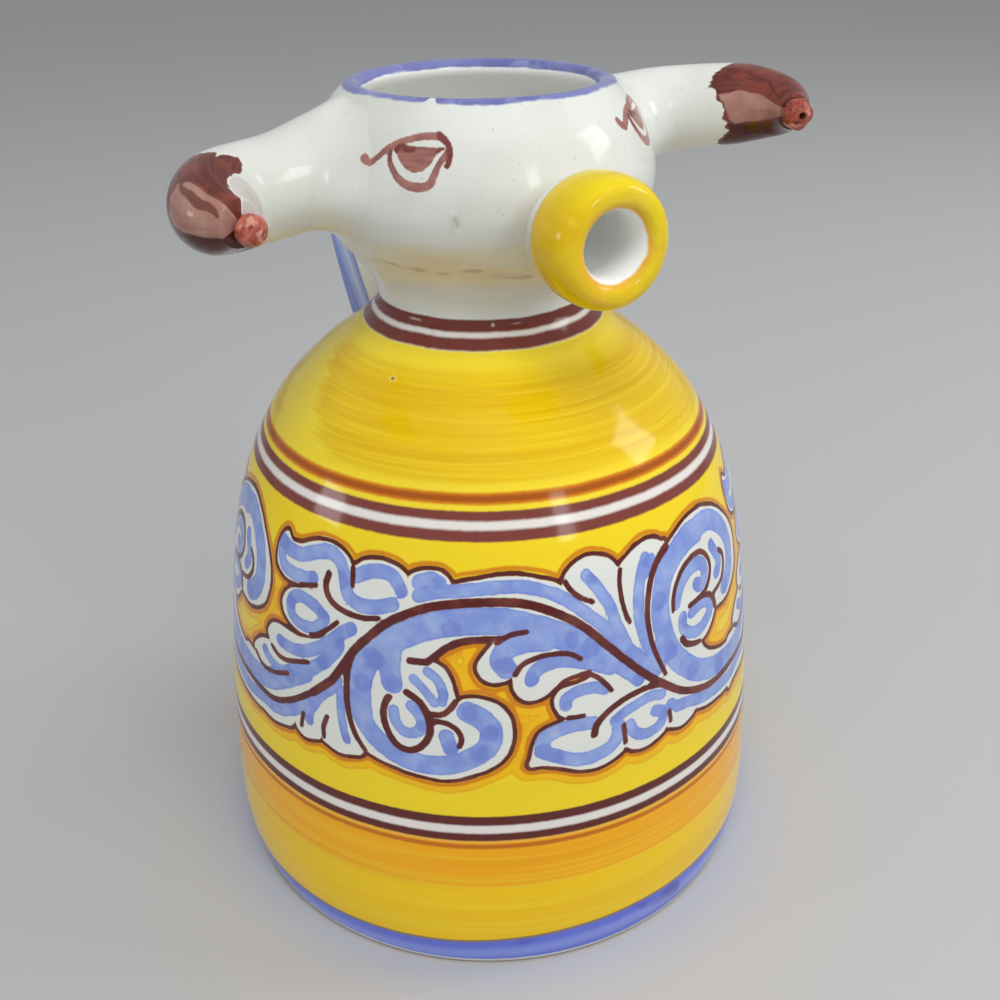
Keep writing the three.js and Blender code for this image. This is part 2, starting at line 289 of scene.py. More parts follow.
# The frieze: scrolls of acanthus, three times round. Each place is degrees round the jug and its
# height in millimetres, as the painter lays one scroll out. White leaves come first.
frieze_repeats = 3
frieze_turn = -27.5
frieze_radius = 59
scroll_middle = 14
scroll_half_span = 92
hand_wander = 0.8
leaf_shapes = [
    [(-48, 96), (-49.7, 94.6), (-50.5, 91.8), (-50, 89.2), (-48.1, 87.5), (-45.5, 86.8), (-41.7, 87.1),
     (-38, 87.2), (-33, 86), (-29, 87), (-28.2, 91), (-28.8, 94), (-30, 95.6), (-32.1, 96.7),
     (-34.8, 97.2), (-38, 96.9), (-40.7, 96), (-43.3, 94.8), (-46, 94.7)],
    [(-28.6, 93.6), (-27.6, 94.9), (-25.7, 96), (-22.5, 96.5), (-19.3, 96.1), (-17.2, 95), (-16.2, 93.6),
     (-16, 89), (-22, 84), (-29, 86)],
    [(-16.5, 93.8), (-14.1, 95.6), (-11.5, 96), (-9.3, 95.6), (-7.3, 93.7), (-7, 89), (-12, 87), (-17, 88)],
    [(-8, 93.2), (-5.9, 93.9), (-2.4, 94.6), (1.3, 95.1), (5.6, 95.1), (9.9, 94.2), (14.2, 92.6), (20, 88),
     (26, 80), (31, 72), (22, 74), (10, 84), (0, 86), (-10, 88)],
    [(15.3, 93.6), (16.8, 95.3), (19, 96.4), (21.1, 96.8), (23.8, 96.3), (25.9, 95.2), (27.5, 92.8),
     (28.5, 88), (29.5, 82), (33, 74), (36, 67), (30, 70), (24, 78), (19, 87), (15.3, 91.4)],
    [(27.4, 92.6), (28.3, 93.9), (30, 94.9), (32.1, 95.9), (34.8, 96.5), (37.5, 96.2), (39.3, 95.2),
     (40.6, 93.4), (40, 80), (38, 66), (34, 67), (30, 77), (28, 86)],
    [(40.2, 93.6), (43.3, 95), (46.5, 96.1), (49.7, 96.8), (52.9, 96.9), (56.2, 96.4), (59.4, 95.2),
     (62.6, 93.2), (65.8, 90.2), (67.9, 87), (68.5, 83.2), (67.4, 79.3), (64.7, 76.4), (61.5, 74.8),
     (58.8, 74.2), (56, 74.4), (54.2, 74.4), (52.2, 72.2), (50.2, 70.7), (47.6, 69.8), (42, 68),
     (36, 69), (33, 78), (33.5, 87), (36, 91.5)],
    [(38, 73), (34, 66), (37, 59), (41, 56), (44.9, 54.8), (47.1, 54), (50.8, 53), (55.1, 52.6),
     (59.4, 52.3), (66, 52.4), (72, 54), (74, 58), (70, 64), (64, 64.5), (60.4, 63.8), (56.7, 63.9),
     (53.5, 64.8), (50.8, 66.2), (48.9, 68), (47.4, 69.9), (43, 73)],
    [(-62, 64), (-57, 64.6), (-52, 66), (-46, 70), (-40, 75), (-34, 79), (-31, 86), (-26, 86), (-22, 84),
     (-24, 78), (-26, 70), (-26, 60), (-24.6, 56.5), (-30, 57), (-34.7, 57.5), (-38, 57), (-42, 56.5),
     (-42.8, 54), (-45.5, 52.7), (-48.7, 52), (-52.4, 52.1), (-55.6, 52.6), (-58.8, 52.7), (-62, 53)],
    [(-42.2, 54.9), (-40.7, 53.4), (-39.1, 53), (-36.9, 53.6), (-34.9, 55), (-35, 62), (-38, 64), (-42, 58)],
    [(-34.9, 55.2), (-33.2, 53.7), (-30.5, 53), (-27.8, 53.5), (-25, 55.2), (-25, 62), (-30, 68), (-34, 62)],
    [(-57.5, 66.2), (-56.6, 67.6), (-55.6, 68.5), (-53.5, 69.9), (-51, 70.5), (-46, 70), (-44, 66),
     (-50, 63), (-56, 64)],
    [(-51.7, 72.5), (-50.5, 74.7), (-48.7, 75.8), (-46, 76.1), (-43.3, 75.9), (-40.7, 75.9), (-37, 77),
     (-34, 78), (-33, 74), (-40, 70), (-46, 69), (-50, 70.2)],
    [(-46.9, 82.1), (-44.9, 85), (-41.7, 86.3), (-38, 87.2), (-33, 87), (-31, 84), (-33.7, 80.1),
     (-36.4, 78), (-39.6, 77), (-43.3, 77.5), (-46, 79.3)],
    [(-27.6, 70), (-27.6, 64), (-26.4, 59), (-24.6, 55.8), (-22.5, 54.6), (-19.3, 53.7), (-15.6, 52.9),
     (-12, 52.3), (-9.3, 52.1), (-6.1, 52.6), (-2.4, 54), (0.8, 55.7), (2.9, 58.3), (4, 61.7),
     (3.9, 65.1), (2.7, 67.9), (0.5, 69.9), (-2.4, 70.8), (-5.1, 70.6), (-8, 69), (-14, 72),
     (-20, 76), (-24, 80), (-27, 77)],
    [(-6.6, 70), (-6.9, 71.9), (-7.5, 74.7), (-8.8, 77), (-10.7, 78.2), (-12.6, 78.6), (-18.5, 78.6),
     (-20, 73), (-12, 67), (-8, 67.5)],
    [(-14, 78.4), (-10.7, 79.4), (-8.8, 81), (-6.1, 82.4), (-2.9, 83.1), (0.5, 83), (4, 82), (10, 79),
     (17, 76), (24, 72), (30, 74), (22, 84), (8, 91), (-8, 91), (-22, 86), (-26, 80), (-20, 76)],
    [(1.5, 83.2), (-1.3, 80), (-2.5, 77.6), (-1.7, 75.3), (0.8, 74), (3.5, 74.7), (5.4, 76.4), (9, 79),
     (10, 82), (6, 85)],
    [(4.7, 76.4), (4.2, 73.5), (5.3, 70.9), (7.2, 69.7), (9.9, 70.2), (12, 71.9), (14.2, 73.6),
     (16.8, 74.1), (20, 75), (17, 80), (9, 80)],
    [(12.3, 70.2), (12, 68), (13.1, 65.6), (15.2, 64.6), (18, 64.2), (24, 62), (34, 60), (36, 66),
     (31, 73), (25, 76), (20, 74.6), (19.5, 72.8), (16.5, 71.9), (13.8, 71.6)],
    [(14.5, 64.5), (11.5, 63.6), (9.1, 62.3), (8, 60), (7.5, 57.1), (7, 54.8), (9.9, 54.6), (13.1, 53.7),
     (16.3, 52.3), (19.5, 51.7), (22.7, 52.1), (25.4, 53.4), (26.8, 55.4), (27, 60), (22, 66), (17, 66)],
    [(26, 55.4), (27.3, 53.8), (28.9, 52.9), (31.6, 52.6), (34.3, 53.4), (36.7, 55.4), (36, 62),
     (30, 66), (26, 62)],
    [(36.1, 55.4), (38, 54), (40.1, 53), (42.8, 53.3), (45.2, 55), (44, 60), (38, 64), (35, 60)],
]
# Blue strokes over the white, each with its half width in millimetres and its places.
blue_strokes = [
    (1.49, [(-48.9, 93.6), (-46, 92.7), (-42.3, 93), (-38.5, 94.6), (-34.8, 95.5), (-32.1, 94.6),
            (-30.6, 92.4), (-30, 90.1), (-28.6, 88.1), (-25.7, 87.2), (-22.5, 87.7), (-19.3, 88.7)]),
    (1.38, [(-48.8, 93.6), (-48.9, 91.2), (-47.3, 89.1), (-43.9, 88.5), (-40.7, 88.8), (-38.2, 89.5)]),
    (1.43, [(-27.6, 92.7), (-25.2, 93.9), (-22.5, 94.5), (-19.8, 94.2), (-18.2, 92.6), (-17.5, 91.5)]),
    (1.43, [(-14.2, 93.6), (-11.7, 94.4), (-9.6, 93.6)]),
    (1.32, [(-14.1, 91), (-10.4, 92), (-6.1, 92.5), (-1.9, 92.9), (2.4, 93.2), (6.7, 93), (11, 91.8),
           (14.7, 90), (18.4, 87), (22.2, 83.3), (25.2, 79.6), (28.4, 76.1), (31.8, 72.2), (34.4, 69)]),
    (1.32, [(20, 93.4), (22.2, 90.6), (24.3, 86.7), (26, 81.6), (27.6, 77.4)]),
    (1.43, [(34.2, 93.2), (32.6, 90.6), (31.3, 86.7), (31, 82.7), (31.8, 78.1), (33.8, 73.4), (35.6, 69.6)]),
    (1.1, [(35.9, 92.8), (33.6, 90.4)]),
    (2.54, [(51, 93.3), (47.6, 93.3), (43.9, 92.1), (40.7, 90.3), (38.3, 88), (36.9, 84.6), (36.4, 81),
            (37, 76.4), (38.7, 71.9), (41.7, 67.7), (45.5, 64.3), (49.7, 62.1), (54, 60.9), (59.4, 60.2),
            (65, 60.4), (70, 62), (74, 64.2), (77.7, 66.7), (80.9, 68.8)]),
    (1.54, [(78, 66.9), (81, 68.9), (84.1, 71.2), (86.8, 73.6), (88.9, 76.3), (90, 78.1)]),
    (2.21, [(50.8, 93.6), (54, 93.8), (57.2, 93.1), (60.4, 91.1), (62.9, 88.4), (64, 85), (63.8, 81.5),
            (62, 78.9), (59.5, 77.2)]),
    (1.49, [(40.9, 81.5), (41.9, 83.8), (43.9, 85.8), (46.5, 86.9), (49.7, 86.8), (51.2, 85.2),
            (50.9, 83.1), (48.9, 82.2), (47.9, 83)]),
    (1.43, [(55.6, 88.2), (57.2, 85.5), (57.7, 83.2), (56.2, 81.7)]),
    (1.38, [(42.5, 77.8), (42.4, 75.6), (44.2, 73.7), (47.1, 72.8), (50, 73.6), (52, 75.3), (51.4, 77.4),
            (48.7, 78.3), (45.5, 77.7)]),
    (1.49, [(56, 54.9), (60, 54.6), (66, 55.4), (70.8, 55.4), (74.5, 56.5), (77.7, 58.3), (80.4, 60.5),
            (83.1, 62.5), (85.7, 65.6), (87.9, 67.9), (89.5, 70.2)]),
    (1.43, [(39.6, 58.4), (43.3, 57.7), (47.1, 56.4), (51.9, 55.4), (56, 54.9)]),
    (1.26, [(-36.4, 62.6), (-38, 60), (-38.2, 57.6)]),
    (1.04, [(-30.2, 68), (-30.2, 63.4), (-29.6, 59.4), (-28.9, 56.7)]),
    (1.21, [(-52.6, 67.6), (-50.8, 66.3), (-47.6, 65.6), (-43.9, 66.4), (-40.7, 68.2)]),
    (1.43, [(-47, 72.4), (-43.9, 72.2), (-40.1, 73), (-36.9, 74.7), (-33.7, 77), (-31.1, 79.6), (-28, 82)]),
    (1.38, [(-44.3, 82), (-43.4, 79.8), (-40.7, 78.8), (-37, 79.4), (-34.5, 82), (-35.4, 83), (-38, 84.3),
            (-41.7, 84.6), (-43.9, 83.2)]),
    (2.27, [(-4.3, 67.8), (-1.9, 66.4), (-0.1, 63.9), (-0.4, 60.5), (-2.4, 58.3), (-5.6, 56.4),
           (-9.3, 55.3), (-13.6, 55.3), (-17.5, 56.3), (-21.2, 58.3), (-24.1, 61.2), (-25.7, 64.5)]),
    (2.71, [(-25.6, 64.5), (-26, 68), (-25.8, 71.3), (-24.6, 75.3), (-22.2, 78.8), (-19.3, 81.4),
           (-16.4, 83.2), (-13.1, 84.8), (-9.3, 86), (-4, 86.7), (0.3, 86.8), (4.5, 86.2), (8.8, 84.9),
           (13.1, 83), (16.8, 81), (20, 78.9), (22.7, 76.3)]),
    (1.54, [(20, 78.9), (22.7, 76.3), (25.4, 73.5), (27.9, 71.2), (30, 68.8)]),
    (2.27, [(-19, 80), (-19.4, 77), (-19.3, 74), (-19, 72.4)]),
    (1.21, [(-18.7, 66.6), (-18.2, 63.9), (-16.5, 62.1), (-14.3, 62.2), (-13.1, 63.9), (-13.5, 66.2),
           (-15.2, 68.2)]),
    (1, [(-12, 76.1), (-9.9, 74.2), (-8.9, 71.6), (-9.1, 69.6)]),
    (0.95, [(-14.7, 74.2), (-12.5, 71.9), (-10.6, 69.3)]),
    (1.54, [(-8.5, 62.2), (-7.6, 59.3)]),
    (2.16, [(3, 77), (2, 79), (3.2, 81), (6.7, 82.2), (11, 82)]),
    (1.54, [(7.8, 74.3), (8.5, 75.9), (11, 77.3), (14.2, 77.5), (17.9, 76.4), (21.1, 75), (23.8, 73.5)]),
    (1.32, [(14.3, 67.5), (14.4, 69), (16.8, 70.2), (20, 70.3), (22.4, 69.3)]),
    (1.59, [(9.5, 58.3), (10, 60.9), (13.1, 62.4), (16.8, 62.8), (19.4, 62.4)]),
    (1.59, [(9.5, 58), (12, 56.6), (15.2, 55), (19, 54.5), (22.7, 55.5), (24.8, 57.6), (25, 60)]),
    (1.26, [(24.3, 61.4), (26.4, 62.6), (28.9, 63.4), (32.7, 64), (35.5, 63.2)]),
    (1.32, [(27.6, 59.4), (28.6, 57.1), (31.1, 55.7), (34.6, 56.2), (35.8, 58.6), (33.7, 60.2)]),
    (1.21, [(37.7, 60), (39.6, 58.6)]),
]
# Where the brush was set down or lifted, the blue is darker: places and radii.
blue_dabs = [
    (-48.6, 93.4, 1.7), (-38.4, 89.4, 1.4), (-31, 91, 1.9), (-17.6, 91.7, 1.4), (-10, 93.8, 1.2),
    (21, 92.6, 1.3), (35, 92.6, 1.5), (59.6, 77.2, 1.8), (55.8, 88.1, 1.5), (56.4, 81.7, 1.4),
    (48.2, 82.8, 1.4), (43.4, 76.6, 1.6), (-37.9, 57.7, 1.4), (-28.9, 56.9, 1.2), (-52.6, 67.6, 1.2),
    (-46.8, 72.4, 1.4), (-28, 81.8, 1.4), (-30.4, 78.2, 1.5), (-35.2, 82.9, 1.4), (-43.8, 82.4, 1.6),
    (-4.2, 67.6, 1.7), (-0.2, 63, 1.9), (-2.4, 58.5, 2), (-7.2, 85, 2.2), (-22.8, 76.8, 2.4),
    (-25.2, 71, 2.2), (-18.9, 72.6, 1.7), (-13.1, 63.9, 1.3), (-8.9, 71.2, 1.6), (-7.8, 59.8, 1.6),
    (2.8, 77.6, 2), (8, 74.4, 1.6), (14.5, 67.8, 1.3), (9.8, 58, 1.9), (12.4, 56.4, 1.6), (24.6, 62, 1.5),
    (19.8, 79, 2.2), (30, 69, 1.6), (38.4, 72, 2.2), (45, 64.6, 2.2), (36.6, 84, 2),
    (54.6, 60.6, 2.2), (35.6, 58.4, 1.4), (76, 66, 2), (86, 73, 1.6), (16, 81.4, 1.8),
]
# Manganese brown: the long stem, the scrolls' curls and the leaves' veins, half widths from end to end.
brown_strokes = [
    (0.75, 0.75, [(60, 57.4), (66, 57.2), (71.1, 57.5), (77, 60.3), (82.8, 64.6), (87.5, 69)]),
    (0.95, 0.85, [(-37.2, 64.6), (-32.5, 69.2), (-30, 73), (-27.2, 77.6), (-23.1, 82.2), (-19.5, 85.4),
                  (-13.7, 88.4), (-7.8, 89.9), (0, 90.4), (6.3, 89.9), (12.2, 87.8), (18, 84.1),
                  (22.7, 79.2), (27.4, 74), (32.1, 69), (36.8, 64.8), (41.5, 61.2), (47.4, 58.7),
                  (53.3, 57.6), (60, 57.4)]),
    (0.85, 0.6, [(-27.6, 77), (-28.6, 73), (-28.8, 68), (-28.3, 63), (-27, 59), (-24.8, 55.6)]),
    (0.85, 0.56, [(-34.4, 91.4), (-34.8, 88.9), (-33.2, 86.4), (-30, 85.1), (-25.7, 84.8), (-22, 85.5)]),
    (0.55, 0.56, [(-38, 77.5), (-36.4, 78.1), (-33.7, 80.1), (-31.3, 82.4)]),
    (0.56, 0.56, [(-41.7, 87), (-38.5, 87.9), (-37.2, 88.3)]),
    (0.6, 0.56, [(-50, 69.8), (-47.6, 68.7), (-44.9, 68.8), (-41.7, 69.9), (-38.5, 71.1)]),
    (0.6, 0.56, [(-56.7, 65), (-54, 63.4), (-50.8, 63.4), (-47.6, 64.4), (-44.4, 65.9)]),
    (0.65, 0.55, [(-28.6, 94), (-28.3, 90.6)]),
    (0.55, 0.6, [(-39.8, 58.6), (-40.4, 55.2)]),
    (0.6, 0.6, [(-33.5, 60.4), (-34.4, 57.8), (-34.4, 55.2)]),
    (0.8, 0.75, [(-15.4, 77.9), (-12, 78)]),
    (0.75, 0.5, [(-12, 78), (-8.5, 81.2), (-5.4, 82.8), (-1, 83.3), (3, 83.4)]),
    (0.8, 0.75, [(-16.1, 71), (-13.6, 69.3), (-12.1, 66.8), (-11.5, 63.9), (-12, 61.1), (-13.9, 58.7),
                 (-16.3, 58), (-18.5, 59.2), (-20.2, 62.2), (-20.8, 65.1), (-20.4, 67.9), (-19.6, 69.3)]),
    (0.65, 0.65, [(-12, 66.8), (-9.3, 66.9), (-7.5, 68.5), (-6.6, 70)]),
    (0.6, 0.6, [(-11.5, 65.1), (-8.8, 65.2), (-6.6, 63.9), (-5.6, 61.9), (-6, 59.8)]),
    (0.56, 0.56, [(1.3, 82.4), (4, 83.9), (7.2, 84.3)]),
    (0.6, 0.56, [(4.7, 75.6), (6.1, 77.6), (9.3, 78.9), (13.1, 79.1), (15.8, 78.4), (17.6, 77.1)]),
    (0.55, 0.56, [(18.8, 73.8), (21, 72.2), (22.6, 70.3), (23.8, 68.5)]),
    (0.6, 0.56, [(14.6, 64.7), (17.8, 64.5)]),
    (0.85, 0.6, [(19.9, 59.6), (20.4, 61.7), (22.7, 63.9), (25.9, 65.5), (30.5, 66.3), (34.6, 65.8),
                 (37.4, 64.6)]),
    (0.56, 0.56, [(26.2, 59.8), (26.5, 55.4)]),
    (0.56, 0.56, [(37.4, 58.4), (37.7, 55.8)]),
    (0.6, 0.56, [(27.7, 92.8), (27.2, 90.4), (27.3, 86.7), (28, 83.5), (28.7, 82)]),
    (0.6, 0.56, [(15.4, 93), (16.5, 91.2), (18.4, 89.4), (20.9, 88.1)]),
    (0.9, 0.5, [(40.4, 93.8), (37.5, 92.1), (35.1, 89.3), (33.5, 85.3), (33, 81), (33.5, 76.4),
                (34.7, 72.3), (36, 69.2), (36.8, 67.4)]),
    (0.6, 0.65, [(39.9, 80.4), (40.4, 83.3), (41.7, 85.8), (44.4, 88), (47.6, 89), (50.8, 88.8),
                 (53, 86.9), (53.7, 84.4), (52.7, 81.8), (50.5, 80.2), (47.6, 79.6), (44.9, 79.4)]),
    (0.6, 0.75, [(47.6, 79.6), (50.8, 79.3), (53.4, 77.6), (54.2, 75)]),
    (0.65, 0.56, [(58.6, 85.8), (60, 84.4), (60.2, 82.1), (58.8, 79.9), (56.7, 78.7), (54, 78.2)]),
    (0.85, 0.55, [(41.9, 73.2), (43.3, 71.4), (46, 70.3), (47.6, 70)]),
]


def unrolled(places, radius):
    """Places in degrees and millimetres, as millimetres on a wall of that radius, rolled out flat."""
    return np.array(places, float) * [math.radians(radius), 1]


def near(points, line, edge, *sizes):
    """Edge distances worked out only near a line, and plainly far away elsewhere."""
    margin = 5
    close = np.all((points > line.min(axis=0) - margin) & (points < line.max(axis=0) + margin), axis=1)
    away = np.full(len(points), far_away)
    if close.any():
        away[close] = np.minimum(edge(points[close], line, *sizes), far_away)
    return away


def dab_edge(points, place, radius):
    """Millimetres from the edge of a round dab, negative inside."""
    return np.hypot(*(points - place).T) - radius


def shapes_edge(points, shapes, radius, per_span):
    """Millimetres from the edges of closed shapes on a wall of that radius, negative inside."""
    lines = [curve_through(unrolled(shape, radius), per_span, closed=True) for shape in shapes]
    return np.min([near(points, line, shape_edge) for line in lines], axis=0)


def strokes_edge(points, strokes, radius, per_span, bold=1):
    """Millimetres from the edges of strokes on a wall of that radius. Each stroke is its half widths
    from end to end and its places, and a bold brush makes all of them wider."""
    edges = []
    for start, end, places in strokes:
        line = curve_through(unrolled(places, radius), per_span)
        edges.append(near(points, line, stroke_edge, start * bold, end * bold))
    return np.min(edges, axis=0)


def frieze_edges(points):
    """Millimetres from the leaves, the blue, the dabs and the brown over places on the unrolled frieze."""
    dabs = [(unrolled([(turn, height)], frieze_radius), radius) for turn, height, radius in blue_dabs]
    blue_ends = [(width, width, places) for width, places in blue_strokes]
    return {
        "leaf": shapes_edge(points, leaf_shapes, frieze_radius, 5),
        "blue": strokes_edge(points, blue_ends, frieze_radius, 4),
        "dab": np.min([near(points, place, dab_edge, radius) for place, radius in dabs], axis=0),
        "brown": strokes_edge(points, brown_strokes, frieze_radius, 4),
    }


def wandering(points, size, seed):
    """The unevenness of a hand, two ways, for places on a wall."""
    return np.column_stack([lumps(points, size, seed + way) for way in range(2)])


in_frieze = np.flatnonzero(
    (body_points[:, 2] > frieze_foot) & (body_points[:, 2] < frieze_head)
    & (past_middle(body_points, body_wall) < 0)
)
painted = {name: np.full(len(body_points), far_away) for name in ("leaf", "blue", "dab", "brown")}
for repeat in range(frieze_repeats):
    turn = angles_of(body_points[in_frieze]) - frieze_turn - 360 / frieze_repeats * repeat
    turn = turned_near(turn, scroll_middle)
    close = np.abs(turn - scroll_middle) < scroll_half_span
    some = in_frieze[close]
    places = unrolled(np.column_stack([turn[close], body_points[some, 2]]), frieze_radius)
    if repeat:
        places = places + hand_wander * wandering(body_points[some], 30, 10 * repeat)
    for name, edge in frieze_edges(places).items():
        painted[name][some] = np.minimum(painted[name][some], edge)
for name, edge in painted.items():
    note(body, name, edge)


class Glaze:
    """A glaze on a shader: a ground, the coats of colour laid over it, and the gloss of the firing."""

    def __init__(self, name, ground):
        self.material = bpy.data.materials.new(name)
        self.material.use_nodes = True
        self.tree = self.material.node_tree
        self.tree.nodes.clear()
        self.place = self.add("ShaderNodeTexCoord").outputs["Object"]
        self.wheel = self.add("ShaderNodeAttribute", attribute_name="wheel").outputs["Vector"]
        self.colour = self.paint(ground)

    def add(self, kind, **settings):
        node = self.tree.nodes.new(kind)
        for name, value in settings.items():
            setattr(node, name, value)
        return node

    def feed(self, node, values):
        """Feeds a node's sockets, each with a plain value or with what another node gives."""
        for socket, value in values.items():
            if isinstance(value, bpy.types.NodeSocket):
                self.tree.links.new(value, node.inputs[socket])
            else:
                node.inputs[socket].default_value = value

    def paint(self, colour):
        """A colour of red, green and blue up to 255, as the eye reads it, made linear."""
        shares = np.array(colour) / 255
        linear = np.where(shares > 0.04045, ((shares + 0.055) / 1.055) ** 2.4, shares / 12.92)
        return (*linear.tolist(), 1.0)

    def work(self, operation, *values):
        node = self.add("ShaderNodeMath", operation=operation)
        self.feed(node, dict(enumerate(values)))
        return node.outputs[0]

    def number(self, name):
        """A number noted on the points of the piece."""
        return self.add("ShaderNodeAttribute", attribute_name=name).outputs["Fac"]

    def height(self):
        parts = self.add("ShaderNodeSeparateXYZ")
        self.feed(parts, {0: self.wheel})
        return parts.outputs[2]

    def from_spot(self, spot):
        """Millimetres from a spot on the piece."""
        node = self.add("ShaderNodeVectorMath", operation="DISTANCE")
        self.feed(node, {0: self.place, 1: tuple(spot * MM)})
        return self.work("MULTIPLY", node.outputs["Value"], 1 / MM)

    def noise(self, vector, seed, scale, detail):
        node = self.add("ShaderNodeTexNoise", noise_dimensions="4D")
        self.feed(node, {"Vector": vector, "W": seed, "Scale": scale, "Detail": detail})
        return node.outputs[0]

    def cloud(self, size, seed, detail=2.0):
        """Noise about a half, with grains of a size in millimetres."""
        return self.noise(self.place, seed, 1 / (size * MM), detail)

    def brushed(self, high, turns_long, seed, detail=2.0):
        """Noise about a half, drawn out round the wheel: millimetres high, and a share of a turn long."""
        stretch = self.add("ShaderNodeVectorMath", operation="MULTIPLY")
        around = 1 / (2 * math.pi * turns_long)
        self.feed(stretch, {0: self.wheel, 1: (around, around, 1 / high)})
        return self.noise(stretch.outputs[0], seed, 1.0, detail)

    def less(self, value, amount):
        return self.work("SUBTRACT", value, amount)

    def shaken(self, distance, amount, noise):
        """A distance moved about by up to an amount."""
        return self.work("MULTIPLY_ADD", self.less(noise, 0.5), 2 * amount, distance)

    def cover(self, distance, soft, most=1.0):
        """How much a coat covers: most of it where the distance is below nothing, fading softly to none."""
        node = self.add("ShaderNodeMapRange", interpolation_type="SMOOTHSTEP")
        self.feed(node, {
            "Value": distance, "From Min": -soft, "From Max": soft, "To Min": most, "To Max": 0,
        })
        return node.outputs[0]

    def below(self, value, limit, soft, most=1.0):
        """The cover of where a value is below a limit."""
        return self.cover(self.less(value, limit), soft, most)

    def above(self, value, limit, soft, most=1.0):
        """The cover of where a value is above a limit."""
        return self.cover(self.less(limit, value), soft, most)

    def stripe(self, value, low, high):
        """How far a value is from the stripe between two others, negative inside it."""
        away = self.work("ABSOLUTE", self.less(value, (low + high) / 2))
        return self.less(away, (high - low) / 2)

    def band(self, value, low, high, soft, most=1.0):
        """The cover of where a value is between two others."""
        return self.cover(self.stripe(value, low, high), soft, most)

    def shared(self, cover, *others):
        """The cover of what several covers share."""
        for other in others:
            cover = self.work("MULTIPLY", cover, other)
        return cover

    def lay(self, colour, *covers):
        """Lays one more coat over the colour so far, on what the covers share."""
        node = self.add("ShaderNodeMix", data_type="RGBA")
        self.feed(node, {0: self.shared(*covers), 6: self.colour, 7: self.paint(colour)})
        self.colour = node.outputs[2]

    def lay_bands(self, value, bands):
        """Lays bands of a value, each with its low and high, its colour, its softness and its cover."""
        for low, high, colour, soft, most in bands:
            self.lay(colour, self.band(value, low, high, soft, most))

    def peel(self):
        """The faint orange peel of a fired glaze."""
        return self.cloud(9, 40)

    def fire(self, piece, roughness, relief=None, deep=0.12):
        """The fired gloss over orange peel or another relief, deep in millimetres."""
        bump = self.add("ShaderNodeBump")
        self.feed(bump, {"Strength": 1, "Distance": deep * MM, "Height": relief or self.peel()})
        shader = self.add("ShaderNodeBsdfPrincipled")
        self.feed(shader, {
            "Base Color": self.colour, "Roughness": roughness, "Specular IOR Level": 0.36,
            "Normal": bump.outputs[0],
        })
        self.feed(self.add("ShaderNodeOutputMaterial"), {"Surface": shader.outputs[0]})
        piece.data.materials.append(self.material)


white_tin = (219, 221, 214)
# The inside white is brighter than the white outside: painted light in the jug, the bore and the mouth.
inner_white_painted_light = (240, 241, 236)
lemon = (238, 208, 30)
pale_yellow = (238, 212, 48)
deep_yellow = (238, 184, 4)
shoulder_yellow = (222, 182, 0)
dark_yellow = (210, 162, 0)
band_orange = (240, 168, 0)
low_yellow = (240, 196, 0)
ochre_line = (184, 88, 4)
manganese = (88, 34, 32)
painter_blue = (136, 160, 218)
dark_blue = (98, 116, 198)
foot_blue = (98, 114, 218)
bare_clay = (190, 146, 108)
fill_ochre = (210, 148, 6)
halo_ochre = (200, 108, 8)
thin_manganese = (128, 68, 56)
line_white = (226, 220, 214)
shoulder_ochre = (200, 108, 6)
shoulder_umber = (150, 70, 12)
upper_brown = (122, 60, 52)
lower_brown = (92, 36, 32)
foot_grey = (92, 84, 70)
foot_pale = (142, 160, 236)
foot_blot = (64, 64, 160)
pit_rim = (236, 214, 120)
pit_heart = (126, 76, 30)
edge_angle = 50


def finish_edges(piece):
    """Keeps the true edges of a piece crisp under its smooth shading."""
    piece.data.set_sharp_from_angle(angle=math.radians(edge_angle))


def wall_place(turn, height):
    """A place on the jug's wall, from its degrees round from the muzzle and its height."""
    angle = math.radians(turn)
    reach = float(pot_radius(height))
    return np.array([reach * math.sin(angle), -reach * math.cos(angle), height])


def wheel_levels(glaze):
    """Heights as the brush on the wheel keeps them: its slow wander, and the grain of a fine line."""
    level = glaze.shaken(glaze.height(), 0.35, glaze.brushed(60, 0.08, 1))
    return level, glaze.shaken(level, 0.12, glaze.cloud(1.3, 2))


def whiten_inside_with_painted_light(glaze):
    """Inside, the jug is white, painted brighter than the white outside: painted light in its hollow."""
    glaze.lay(inner_white_painted_light, glaze.above(glaze.number("inside"), 0, 0.3))


# The shoulder's brushing starts and ends at a slanting lap, and the foot's band leans a little.
lap_turn = -92
lap_slant = 2.2
lap_height = 114
lap_half_width = 15
foot_lean = 1.6
foot_lean_turn = -22
body_pit = (-61.8, 124.5)
body_turns = angles_of(body_points)
note(body, "inside", past_middle(body_points, body_wall))
from_lap = body_turns - lap_turn + lap_slant * (body_points[:, 2] - lap_height)
note(body, "lap", lap_half_width - np.abs(turned_near(from_lap, 0)))
lean = foot_lean * np.sin(np.radians(2 * (body_turns - foot_lean_turn)))
note(body, "foot_height", body_points[:, 2] - lean)

glaze = Glaze("yellow and blue glaze", white_tin)
grain = glaze.cloud(1.3, 2)
level, fine = wheel_levels(glaze)
brush = glaze.brushed(0.9, 0.22, 3, 3)
slow_brush = glaze.brushed(3.5, 0.3, 4)

